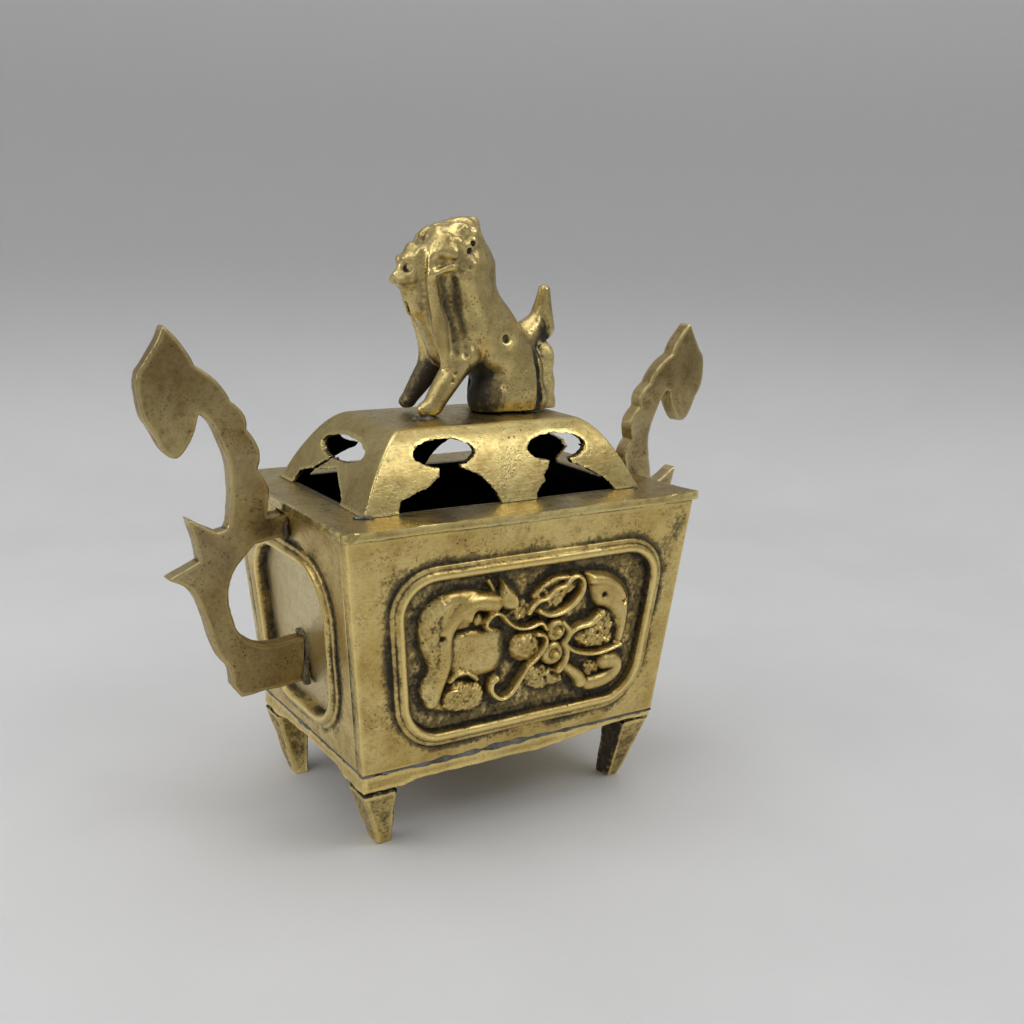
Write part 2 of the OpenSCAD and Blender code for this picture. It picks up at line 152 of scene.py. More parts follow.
def slope_of(f, points, h=0.03):
    """Unit normals of f at the points."""
    total = np.zeros_like(points)
    for k in ((1, -1, -1), (-1, -1, 1), (-1, 1, -1), (1, 1, 1)):
        k = np.array(k, float)
        q = points + h * k
        total += f(q.T)[:, None] * k
    return total / np.maximum(np.linalg.norm(total, axis=1), 1e-9)[:, None]


def contour(f, low, high, step):
    """Closed mesh of the surface f = 0 by dual contouring, which keeps sharp edges."""
    low = np.array(low, float)
    n = np.ceil((np.array(high) - low) / step).astype(int) + 1
    axes = [low[k] + step * np.arange(n[k]) for k in range(3)]
    values = np.broadcast_to(f(np.meshgrid(*axes, indexing="ij", sparse=True)), tuple(n)).astype(float)
    inside = values < 0
    cells = n - 1
    points, quads = [], []
    for k in range(3):
        a = [slice(None)] * 3
        b = [slice(None)] * 3
        a[k], b[k] = slice(0, -1), slice(1, None)
        at = np.argwhere(inside[tuple(a)] != inside[tuple(b)])
        o1, o2 = (k + 1) % 3, (k + 2) % 3
        at = at[(at[:, o1] > 0) & (at[:, o1] < n[o1] - 1) & (at[:, o2] > 0) & (at[:, o2] < n[o2] - 1)]
        end = at.copy()
        end[:, k] += 1
        f0, f1 = values[tuple(at.T)], values[tuple(end.T)]
        where = low + step * at
        where[:, k] += step * f0 / (f0 - f1)
        points.append(where)
        around = []
        for d1, d2 in ((0, 0), (1, 0), (1, 1), (0, 1)):
            c = at.copy()
            c[:, o1] -= d1
            c[:, o2] -= d2
            around.append(np.ravel_multi_index(c.T, tuple(cells)))
        around = np.stack(around, 1)
        back = f0 >= 0
        around[back] = around[back][:, ::-1]
        quads.append(around)
    points, quads = np.concatenate(points), np.concatenate(quads)
    normals = slope_of(f, points)
    used, flat = np.unique(quads.ravel(), return_inverse=True)
    m = len(used)
    p4, n4 = np.repeat(points, 4, axis=0), np.repeat(normals, 4, axis=0)
    count = np.bincount(flat, minlength=m)
    mean = np.stack([np.bincount(flat, weights=p4[:, k], minlength=m) for k in range(3)], 1)
    mean = mean / count[:, None]
    away = np.sum(n4 * (p4 - mean[flat]), axis=1)
    ata = np.empty((m, 3, 3))
    for i in range(3):
        for j in range(3):
            ata[:, i, j] = np.bincount(flat, weights=n4[:, i] * n4[:, j], minlength=m)
    atb = np.stack([np.bincount(flat, weights=n4[:, k] * away, minlength=m) for k in range(3)], 1)
    move = np.linalg.solve(ata + 0.12 * np.eye(3), atb[:, :, None])[:, :, 0]
    corner = low + step * np.stack(np.unravel_index(used, tuple(cells)), 1)
    places = np.clip(mean + move, corner, corner + step)
    return places, flat.reshape(-1, 4)


SHADE_REACH = 3.5


def recess_edge_and_shade(f, places, reach):
    """How sunk, how exposed and how shaded each point of a surface is, all from 0 to 1."""
    normals = slope_of(f, places)
    # Sunk points take grime and painted shade, exposed edges are rubbed bright and take a painted highlight,
    # and the far reach gives painted shade.
    sunk = 1 - f((places + reach * normals).T) / reach
    worn_and_highlit = 1 + f((places - reach * normals).T) / reach
    shade = 1 - f((places + SHADE_REACH * reach * normals).T) / (SHADE_REACH * reach)
    return unit(sunk), unit(2.2 * worn_and_highlit), unit(shade)


# ==== Materials
class Net:
    """Short calls to build a material's nodes."""

    def __init__(self, name):
        self.material = bpy.data.materials.new(name)
        self.material.use_nodes = True
        self.tree = self.material.node_tree
        self.tree.nodes.clear()
        self.out = self.tree.nodes.new("ShaderNodeOutputMaterial")
        self.shader = self.tree.nodes.new("ShaderNodeBsdfPrincipled")
        self.tree.links.new(self.shader.outputs[0], self.out.inputs[0])
        self.coords = self.tree.nodes.new("ShaderNodeTexCoord").outputs["Object"]

    def put(self, socket, value):
        if isinstance(value, bpy.types.NodeSocket):
            self.tree.links.new(value, socket)
        elif isinstance(value, (tuple, list)) and len(value) == 3 and socket.type == "RGBA":
            socket.default_value = (*value, 1.0)
        else:
            socket.default_value = value

    def set(self, name, value):
        self.put(self.shader.inputs[name], value)

    def new(self, kind):
        return self.tree.nodes.new("ShaderNode" + kind)

    def math(self, kind, a, b, clamp=False):
        node = self.new("Math")
        node.operation = kind
        node.use_clamp = clamp
        self.put(node.inputs[0], a)
        self.put(node.inputs[1], b)
        return node.outputs[0]

    def times(self, a, b):
        return self.math("MULTIPLY", a, b)

    def plus(self, a, b, clamp=False):
        return self.math("ADD", a, b, clamp)

    def minus(self, a, b, clamp=False):
        return self.math("SUBTRACT", a, b, clamp)

    def larger(self, a, b):
        return self.math("MAXIMUM", a, b)

    def ramp(self, value, low, high, to_low=0.0, to_high=1.0):
        node = self.new("MapRange")
        node.interpolation_type = "SMOOTHSTEP"
        for socket, v in zip(node.inputs, (value, low, high, to_low, to_high), strict=False):
            self.put(socket, v)
        return node.outputs[0]

    def stretch(self, scale):
        node = self.new("Mapping")
        self.put(node.inputs["Vector"], self.coords)
        node.inputs["Scale"].default_value = scale
        return node.outputs[0]

    def noise(self, size_mm, detail=4.0, rough=0.55, scale=(1, 1, 1), warp=0.0):
        node = self.new("TexNoise")
        self.put(node.inputs["Vector"], self.coords if scale == (1, 1, 1) else self.stretch(scale))
        node.inputs["Scale"].default_value = 1 / (size_mm * MM)
        node.inputs["Detail"].default_value = detail
        node.inputs["Roughness"].default_value = rough
        node.inputs["Distortion"].default_value = warp
        return node.outputs["Fac"]

    def spots(self, size_mm, reach):
        """1 in small round spots that far apart, 0 elsewhere."""
        node = self.new("TexVoronoi")
        self.put(node.inputs["Vector"], self.coords)
        node.inputs["Scale"].default_value = 1 / (size_mm * MM)
        return self.ramp(node.outputs["Distance"], reach, reach * 0.4)

    def attribute(self, name):
        node = self.new("Attribute")
        node.attribute_name = name
        return node.outputs["Fac"]

    def mix(self, amount, a, b):
        node = self.new("Mix")
        node.data_type = "RGBA"
        self.put(node.inputs[0], amount)
        self.put(node.inputs[6], a)
        self.put(node.inputs[7], b)
        return node.outputs[2]

    def bump(self, height, depth_mm, strength=1.0, normal=None):
        node = self.new("Bump")
        node.inputs["Strength"].default_value = strength
        node.inputs["Distance"].default_value = depth_mm * MM
        self.put(node.inputs["Height"], height)
        if normal is not None:
            self.put(node.inputs["Normal"], normal)
        return node.outputs[0]


# Brown stains as shares of the warm brass colour, and the colours of what covers the brass; the brown and
# black ones also paint shade, and the pale sheen paints light reflected from the surroundings
TAN, UMBER = (0.66, 0.57, 0.5), (0.42, 0.34, 0.3)
PAINTED_SHEEN, GRIME_AND_SHADE, BLACK_GRIME_AND_SHADE = (0.74, 0.68, 0.47), (0.105, 0.078, 0.034), (0.024, 0.019, 0.013)
PIT, SOOT = (0.05, 0.036, 0.02), (0.007, 0.006, 0.005)


def brass(name, light, warm, roughness=0.34, porous=0.5, brushed=(1, 1, 1), stain=0.5, soot=0.0):
    """Aged brass: warm mottling, brown stains, brown and then black grime in recesses, which also stands for
    painted shade, bright rubbed edges, which also carry painted highlights, and pits. A grime_and_shade
    value above one stands for soot, and the shade attribute adds painted shade. The tone attribute adds a
    smooth darkening where it is below zero, among it painted shade at a handle's lug, and a pale painted
    sheen for light reflected from the surroundings where it is above."""
    net = Net(name)
    broad = net.noise(14, 3, 0.5, warp=0.4)
    cloud = net.noise(4.5, 5, 0.62)
    fine = net.noise(1.1, 5, 0.7)
    grain = net.noise(0.35, 3, 0.6)
    lines = net.noise(0.5, 3, 0.6, scale=brushed)
    grime_and_shade, wear_and_highlight, shade = net.attribute("grime_and_shade"), net.attribute("wear_and_highlight"), net.attribute("shade")

    colour = net.mix(net.ramp(broad, 0.38, 0.62), light, warm)
    tan, umber = tuple(np.multiply(warm, TAN)), tuple(np.multiply(warm, UMBER))
    colour = net.mix(net.times(net.ramp(cloud, 0.46, 0.7), stain), colour, tan)
    colour = net.mix(net.times(net.ramp(fine, 0.5, 0.72), 0.75 * stain), colour, umber)
    colour = net.mix(net.times(net.ramp(lines, 0.48, 0.7), 0.35), colour, tan)
    pale = tuple(0.6 * c + 0.5 * sum(light) / 3 for c in light)
    colour = net.mix(net.times(net.ramp(fine, 0.46, 0.3), 0.4), colour, pale)

    tone = net.attribute("tone")
    # Tone above zero paints a pale sheen for reflected light; below zero it darkens, with painted shade at a
    # handle's lug.
    colour = net.mix(net.ramp(tone, 0.0, 1.0), colour, PAINTED_SHEEN)
    colour = net.mix(net.ramp(tone, 0.0, -1.0), colour, tuple(0.3 * c for c in warm))
    uneven = net.plus(net.times(net.minus(fine, 0.5), 1.3), net.times(net.minus(cloud, 0.5), 0.7))
    # The shade attribute adds painted shade where the surface is hemmed in; with the grime it turns the
    # brass brown and then black.
    depth = net.plus(net.plus(grime_and_shade, net.times(shade, 0.3)), uneven)
    brown, black = net.ramp(depth, 0.2, 0.62), net.ramp(depth, 0.62, 1.05)
    sooty = net.larger(net.ramp(grime_and_shade, 1.15, 1.7), soot)
    colour = net.mix(net.times(brown, 0.82), colour, GRIME_AND_SHADE)
    colour = net.mix(net.times(black, 0.92), colour, BLACK_GRIME_AND_SHADE)

    patchy = net.ramp(net.noise(9, 3, 0.6), 0.6 - 0.16 * porous, 0.74)
    patchy = net.larger(patchy, net.times(net.ramp(depth, 0.1, 0.35), 0.8))
    pits = net.times(net.spots(1.25, 0.3), patchy)
    small = net.times(net.spots(0.75, 0.34), net.ramp(net.noise(6, 2, 0.5), 0.46, 0.62))
    pits = net.larger(pits, net.times(small, porous))
    colour = net.mix(net.times(pits, 0.75), colour, PIT)

    covered = net.plus(net.times(brown, 0.3), net.times(black, 0.5))
    # Rubbed edges, and the painted highlights on edges and crests, turn bright and glossy.
    shine = net.times(wear_and_highlight, net.minus(1.0, black))
    bright = tuple(min(1.0, c * 1.3) for c in light)
    colour = net.mix(net.times(shine, 0.75), colour, bright)
    colour = net.mix(sooty, colour, SOOT)
    net.set("Base Color", colour)

    metal = net.minus(net.minus(1.0, covered), sooty, clamp=True)
    net.set("Metallic", metal)
    net.set("Specular IOR Level", net.ramp(sooty, 0.0, 1.0, 0.4, 0.05))
    rough = net.ramp(cloud, 0.3, 0.7, roughness - 0.06, roughness + 0.1)
    rough = net.plus(rough, net.times(covered, 0.3))
    rough = net.minus(rough, net.times(shine, 0.08))
    rough = net.plus(rough, net.times(sooty, 0.5), clamp=True)
    net.set("Roughness", rough)

    height = net.plus(net.times(fine, 0.5), net.times(grain, 0.25))
    height = net.plus(height, net.times(lines, 0.25))
    height = net.minus(height, net.times(pits, 0.9))
    surface = net.bump(height, 0.12)
    surface = net.bump(broad, 0.5, 0.5, surface)
    net.set("Normal", surface)
    return net.material


def tin_solder(name, clean, dull):
    net = Net(name)
    cloud, fine = net.noise(3, 4, 0.6), net.noise(0.7, 4, 0.65)
    colour = net.mix(net.ramp(cloud, 0.35, 0.7), clean, dull)
    colour = net.mix(net.times(net.ramp(fine, 0.5, 0.72), 0.5), colour, (0.42, 0.37, 0.24))
    net.set("Base Color", colour)
    net.set("Metallic", 0.8)
    net.set("Roughness", net.ramp(fine, 0.3, 0.7, 0.34, 0.6))
    net.set("Normal", net.bump(fine, 0.12))
    return net.material


LIGHT = (0.73, 0.57, 0.22)
WARM = (0.60, 0.44, 0.145)
OLD = (0.45, 0.345, 0.135)
BRASS = {
    "body_brass": brass("body_brass", LIGHT, WARM, 0.36, porous=0.6, brushed=(0.25, 0.25, 1.0), stain=0.55),
    "relief_brass": brass("relief_brass", (0.72, 0.57, 0.23), WARM, 0.33, porous=0.6, stain=0.6),
    "handle_brass": brass("handle_brass", (0.46, 0.365, 0.165), (0.33, 0.24, 0.10), 0.4,
                          porous=0.9, stain=0.7),
    "lid_brass": brass("lid_brass", (0.58, 0.47, 0.195), (0.48, 0.365, 0.135), 0.3,
                       porous=0.3, brushed=(0.15, 1, 1)),
    # The lion's brass is darker as painted shade, for the darker surroundings it reflects.
    "lion_brass": brass("lion_brass", (0.58, 0.46, 0.19), OLD, 0.3, porous=0.9, stain=0.6),
    "rivet_brass": brass("rivet_brass", (0.40, 0.30, 0.12), (0.30, 0.21, 0.08), 0.5, soot=0.9),
    "solder": tin_solder("solder", (0.2, 0.2, 0.195), (0.09, 0.085, 0.07)),
}
LUG_SOLDER = tin_solder("browned_solder", (0.17, 0.145, 0.085), (0.07, 0.055, 0.035))
SOOTED = brass("sooted_brass", LIGHT, WARM, 0.5, soot=1.0)
SLOT_OF = {s["node"]: s["material_slot"] for s in frame["record"]["subparts"]}


def piece(node, places, faces, grime_and_shade, wear_and_highlight, sharp, shade=None, tone=None):
    """A detailed mesh that stands for one CAD node: places in mm, attributes per vertex."""
    mesh = bpy.data.meshes.new(node + "_looks")
    mesh.from_pydata((np.asarray(places) * MM).tolist(), [], [list(map(int, f)) for f in faces])
    mesh.validate()
    for label, values in (("grime_and_shade", grime_and_shade), ("wear_and_highlight", wear_and_highlight), ("shade", shade), ("tone", tone)):
        if values is not None:
            layer = mesh.attributes.new(label, "FLOAT", "POINT")
            layer.data.foreach_set("value", np.asarray(values, np.float32))
    mesh.polygons.foreach_set("use_smooth", [True] * len(mesh.polygons))
    mesh.set_sharp_from_angle(angle=math.radians(sharp))
    ob = bpy.data.objects.new(node + "_looks", mesh)
    bpy.context.scene.collection.objects.link(ob)
    mesh.materials.append(LUG_SOLDER if "handle_" in node else BRASS[SLOT_OF[node]])
    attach(ob, BODY_OF[node])
    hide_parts(node)


def carve(node, f, low, high, step, reach=1.2, extra_grime_and_shade=None, extra_wear_and_highlight=None, tone=None, move=None,
          sharp=40.0):
    """Meshes the field f and puts it in the place of a CAD node."""
    places, faces = contour(f, low, high, step)
    sunk, worn_and_highlit, shade = recess_edge_and_shade(f, places, reach)
    if extra_grime_and_shade is not None:
        extra = extra_grime_and_shade(places)
        sunk = np.where(extra > 1.4, 2.0, unit(sunk + extra))
    if extra_wear_and_highlight is not None:
        worn_and_highlit = unit(worn_and_highlit + extra_wear_and_highlight(places))
    tones = None if tone is None else tone(places)
    if move is not None:
        places, faces = move(places, faces)
    piece(node, places, faces, sunk, worn_and_highlit, sharp, shade, tones)


# ==== Walls: each is lofted from rings round its moulded panel
def panel_ring(w, h, r, spread, straight=10, turn=10):
    """Rounded panel outline with points along its straight sides, sides spreading upwards."""
    x, y = w / 2 - r, h / 2 - r
    arcs = []
    for k, (cx, cy) in enumerate(((x, y), (-x, y), (-x, -y), (x, -y))):
        angle = np.radians(90 * k + np.linspace(0, 90, turn + 1))
        arcs.append(np.stack([cx + r * np.cos(angle), cy + r * np.sin(angle)], 1))
    share = np.linspace(0, 1, straight + 1)[1:-1, None]
    out = []
    for arc, following in zip(arcs, arcs[1:] + arcs[:1], strict=True):
        out += [arc, arc[-1] + (following[0] - arc[-1]) * share]
    out = np.concatenate(out)
    out[:, 0] *= 1 + out[:, 1] * math.tan(spread) / (w / 2)
    return out


# Offset outwards from the panel's outline, height above the wall, and dirt, from outside to inside
MOULDING = [
    (2.6, 0.0, 0.3), (1.9, 0.0, 0.55), (1.35, -0.06, 0.9), (1.1, 0.05, 0.95), (1.06, 0.42, 0.5),
    (0.92, 0.62, 0.15), (0.7, 0.7, 0.1), (0.3, 0.7, 0.2), (0.1, 0.72, 0.55), (0.0, 0.86, 0.5),
    (-0.08, 1.05, 0.3), (-0.3, 1.28, 0.15), (-0.6, 1.46, 0.05), (-1.05, 1.58, 0.0), (-1.45, 1.52, 0.0),
    (-1.8, 1.32, 0.05), (-2.06, 1.02, 0.2), (-2.16, 0.6, 0.6), (-2.2, -0.4, 1.0), (-2.4, -1.0, 1.0),
]


FRONT, LEFT, BACK, RIGHT = 0, -90, 180, 90
FIELD_RINGS, STAIN_X, STAIN_Z = (0.97, 0.9, 0.75, 0.5, 0.25), 40.5, 66


def wall(node, side, half, lean, low_half, top_half, panel_w, panel_r, spread, field_dirt, shift=0.0,
         painted_sheen=0.0):
    """One wall. half: how far its foot stands out; low_half and top_half: its half widths."""
    turn = Matrix.Rotation(math.radians(side), 3, "Z")

    def face_point(u, v, w):
        sin, cos = math.sin(lean), math.cos(lean)
        return (u, -(half + v * sin + w * cos), BOTTOM_Z + v * cos - w * sin)

    slope = WALL_H / math.cos(lean)

    def border(inset, w, inner=False):
        """Rectangle of the wall, inset from its edges, with the panel ring's number of points."""
        out = []
        for x, y in panel_ring(2.0, 2.0, 0.001, 0.0):
            v = inset + (slope - 2 * inset) * (y + 1) / 2
            u = x * (low_half + (top_half - low_half) * v / slope - inset)
            a, b, c = face_point(u, v, w)
            out.append((a, b + WALL_T * inner, c))
        return out

    rings, grime_and_shade, wear_and_highlight = [], [], []

    def add(ring, d, e):
        rings.append(ring)
        grime_and_shade.extend([d] * len(ring))
        wear_and_highlight.extend([e] * len(ring))

    add(border(0.35, 0.0, True), 2.0, 0.0)
    add(border(0.0, -0.25, True), 0.8, 0.3)
    add(border(0.0, -0.3), 0.25, 0.6)
    add(border(0.1, -0.08), 0.0, 1.0)
    add(border(0.35, 0.0), 0.0, 0.5)
    edge = np.array(border(0.35, 0.0))
    margin = MOULDING[0][0]
    outer = panel_ring(panel_w + 2 * margin, PANEL_H + 2 * margin, panel_r + margin, spread)
    start = np.array([face_point(u + shift, v + PANEL_MID, 0.0) for u, v in outer])
    for t, d in ((0.15, 0.0), (0.35, 0.0), (0.55, 0.02), (0.7, 0.07), (0.85, 0.16)):
        add((edge * (1 - t) + start * t).tolist(), d, 0.0)
    for e, height, d in MOULDING:
        ring = panel_ring(panel_w + 2 * e, PANEL_H + 2 * e, panel_r + e, spread)
        points = [face_point(u + shift, v + PANEL_MID, height) for u, v in ring]
        # The bead's crest is rubbed bright and carries a painted highlight line.
        add(points, d, 1.0 if height > 1.5 else 0.0)
    for t in FIELD_RINGS:
        darkening = field_dirt + (0.4 if t > 0.85 else 0)
        add([face_point(u * t + shift, v * t + PANEL_MID, -FIELD) for u, v in ring], darkening, 0.0)

    n = len(rings[0])
    places = np.array([p for r in rings for p in r])
    flat = ripple((places[:, 0], places[:, 2], places[:, 1] * 0), 16, side + 400) * 0.05
    places[:, 1] += flat * (np.arange(len(places)) >= 4 * n)
    faces = []
    for r in range(len(rings) - 1):
        for i in range(n):
            j = (i + 1) % n
            faces.append((r * n + i, r * n + j, (r + 1) * n + j, (r + 1) * n + i))
    faces.append(tuple(range((len(rings) - 1) * n, len(rings) * n)))
    faces.append(tuple(reversed(range(n))))
    places = places @ np.array(turn).T
    grime_and_shade = np.array(grime_and_shade)
    uneven = 1 + 0.35 * ripple(places.T, 5, 3) + 0.45 * ripple(places.T, 22, 4)
    if side == FRONT:
        near = np.exp(-((places[:, 0] - STAIN_X) / 2.6) ** 2 - ((places[:, 2] - STAIN_Z) / 4) ** 2)
        grime_and_shade = grime_and_shade + 0.55 * near * (grime_and_shade < 1)
    grime_and_shade = np.where(grime_and_shade > 1, grime_and_shade, np.clip(grime_and_shade * uneven, -0.4, 1))
    field_start = len(places) - (len(FIELD_RINGS) + 1) * n
    # Pale painted sheen, most on the field, for light reflected from the pale surroundings.
    tone = np.where(np.arange(len(places)) >= field_start, painted_sheen, 0.25 * painted_sheen)
    piece(node, places, faces, grime_and_shade, wear_and_highlight, 50, tone=tone)


for node, side in (("front_wall", FRONT), ("back_wall", BACK)):
    wall(node, side, BOTTOM_D / 2, LEAN_D, BOTTOM_W / 2, TOP_W / 2,
         FRONT_PANEL_W, FRONT_PANEL_R, LEAN_W, 0.9, FRONT_PANEL_SHIFT)
for node, side in (("left_wall", LEFT), ("right_wall", RIGHT)):
    wall(node, side, BOTTOM_W / 2, LEAN_W, BOTTOM_D / 2 - WALL_T, TOP_D / 2 - WALL_T,
         SIDE_PANEL_W, SIDE_PANEL_R, LEAN_D, -0.3, painted_sheen=0.5)


# ==== Dragon relief: heights above the field, drawn with rounded strokes
def stroke(u, v, points, widths, heights):
    """Height of a rounded ridge that follows the points."""
    best = np.full(np.broadcast(u, v).shape, -9.0)
    for i in range(len(points) - 1):
        (x0, y0), (x1, y1) = points[i], points[i + 1]
        ex, ey = x1 - x0, y1 - y0
        t = unit(((u - x0) * ex + (v - y0) * ey) / (ex * ex + ey * ey + 1e-9))
        w = widths[i] + (widths[i + 1] - widths[i]) * t
        h = heights[i] + (heights[i + 1] - heights[i]) * t
        d2 = ((u - x0 - t * ex) ** 2 + (v - y0 - t * ey) ** 2) / (w * w)
        best = np.maximum(best, np.where(d2 < 1, h * np.sqrt(np.maximum(1 - d2, 0)) ** 0.8, -4 * (d2 - 1)))
    return best


def knob(u, v, c, r, h, power=0.8):
    rx, ry = (r, r) if np.isscalar(r) else r
    d2 = ((u - c[0]) / rx) ** 2 + ((v - c[1]) / ry) ** 2
    return np.where(d2 < 1, h * np.maximum(1 - d2, 0) ** (power / 2), -4 * (d2 - 1))


def smooth_outline(points, closed=True):
    """Cuts the corners of an outline twice so that it reads as a curve."""
    pts = np.array(points, float)
    for _ in range(2):
        ends = np.roll(pts, -1, axis=0) if closed else pts[1:]
        begins = pts if closed else pts[:-1]
        cut = np.stack([0.75 * begins + 0.25 * ends, 0.25 * begins + 0.75 * ends], 1)
        cut = cut.reshape(-1, pts.shape[1])
        pts = cut if closed else np.concatenate([pts[:1], cut, pts[-1:]])
    return pts


def slab(u, v, points, height, shoulder):
    """A plateau with a rounded shoulder of the given width."""
    d = in_polygon(smooth_outline(points), u, v)
    t = unit(-d / shoulder)
    return np.where(d < 0, height * np.sqrt(1 - (1 - t) ** 2), -2.5 * d)


def line(u, v, points, width, height):
    """A fine rounded ridge: one width and height, or a pair from its start to its end."""
    pts = smooth_outline(points, closed=False)
    n = len(pts)
    widths = np.linspace(*width, n) if np.ndim(width) else np.full(n, width)
    heights = np.linspace(*height, n) if np.ndim(height) else np.full(n, height)
    return stroke(u, v, pts, widths, heights)


LOOP = [(-7, 11.6), (-11.1, 13.6), (-14.8, 14.6), (-19.9, 14.9), (-23.8, 13.8), (-26.4, 11.9), (-27.6, 9.3),
        (-27.8, 6.1), (-26.8, 2.1), (-25.2, -0.6), (-24.8, -3), (-26.2, -4.8), (-26.8, -7.5), (-25.4, -10.7),
        (-22.2, -12.9), (-19.4, -13), (-21, -10.5), (-20.4, -6.8), (-19.7, -4), (-19.1, -1.2), (-19.6, 1.8),
        (-19.5, 4.7), (-18.8, 5.5), (-15.9, 5.3), (-14.7, 5.8), (-13.9, 9), (-10.8, 9.6), (-7, 9.8)]
PAD = [(-21, 5.4), (-12.3, 5), (-5.4, 4.4), (-4.4, -1.4), (-6, -6.2), (-11.7, -6.6), (-21, -6)]
CLOUD = [(-21, -7.4), (-18.4, -5.8), (-15.2, -6.2), (-10.8, -7.6), (-9.8, -11.7), (-12, -14.3), (-17.3, -14),
         (-21.5, -12.2)]
FLAME = [(-8.8, 16.8), (-6.0, 14.4), (-3.2, 11.8), (-3.2, 8.6), (-6.8, 8.2), (-9.2, 10.4), (-9, 12.8),
         (-8, 14.4)]
CREST = [(-1, 8), (0, 11), (2.2, 13.6), (6, 14.9), (9.6, 15), (12.6, 14.2), (13.2, 10.6), (10.6, 7.4),
         (5, 5.8)]
ARM = [(13.6, 14.7), (17.4, 14.6), (21.1, 13.9), (25.6, 10.8), (27.6, 7.1), (27.7, 2.4), (26.6, -2.6),
       (25.6, -6), (23.4, -5), (24, -1.8), (23.2, 2), (21, 4.4), (17, 5.8), (16, 10), (14.2, 12.6)]
HOLLOW = [(13.4, -0.2), (17, 0.8), (18.6, 4.4), (21.4, 5), (24, 3), (24.6, -2), (24, -5), (19.4, -5.4),
          (13.4, -4)]
BACK_RIDGE = [(-9.5, 10.6), (-13.7, 11.7), (-16.7, 10.8), (-19, 8.9), (-20.9, 6.4), (-21.4, 3.6),
              (-20.9, 0), (-21.4, -3.3), (-22.7, -6.9), (-23.6, -9.8)]
SHOULDER = [(-18, 7.4), (-14.6, 6.4), (-14.2, 9), (-12.6, 10.8), (-16, 11.4), (-19.4, 9.6)]
MOUSTACHE = [(-10.2, 4.8), (-11.7, 5.8), (-11.3, 7.6), (-9.6, 8.7), (-7.6, 8), (-6.2, 5.9), (-3.4, 4.1),
             (-0.1, 3.9), (2.5, 4.9), (3.8, 3)]
WHISKER = [(1.6, 2.1), (3.4, 1.6), (4.3, 0), (3.5, -1.9), (2.2, -3.6), (-0.2, -5.7)]
HOOK = [(0.6, -4.9), (-0.2, -5.7), (-2, -8.6), (-3.6, -11.2), (-6.2, -12.6), (-8.9, -10.6), (-9.3, -8),
        (-7.9, -7.1)]
CHEEK = [(8.6, 3.5), (10.6, 1.4), (10.4, -0.4), (9.2, -1.6), (10.5, -3.6), (10.4, -6), (8.6, -8.2)]
RIBBON = [(-0.8, 7.2), (0.4, 8.8), (1.6, 9.8), (4.1, 9.9), (5.6, 11.6), (7.2, 12.2), (8.6, 12.3),
          (9.6, 13.9), (11.5, 14.5), (13.3, 12.8), (13, 9.9), (10.8, 7.6), (7.9, 6.1), (4.4, 5.9),
          (1.8, 7.4)]
HAUNCH = [(16, 12.6), (20, 12), (23.6, 9.6), (25.4, 6), (25.6, 1.6), (25, -3)]
UPPER_WHISKER = [(10.4, 0), (11.2, 1), (13.3, 1.9), (16.3, 2), (18.2, 3.6)]
LOWER_WHISKER = [(10, -2), (11.2, -3.4), (13.4, -4.7), (18.2, -5.9), (21.8, -5.6), (25.6, -4.6)]
FRONT_PAW = [(10.4, -7.6), (12.6, -9.2), (14.6, -11), (15.4, -12.4)]
HIND_PAW = [(22, -8.6), (25, -9), (25.6, -11), (23.6, -12.8), (20.6, -13.6), (18, -13.6)]
SHORT_MANE = [(-1.4, -8), (3, -5.8), (9.4, -8), (12.4, -12.4), (2.4, -12.8)]


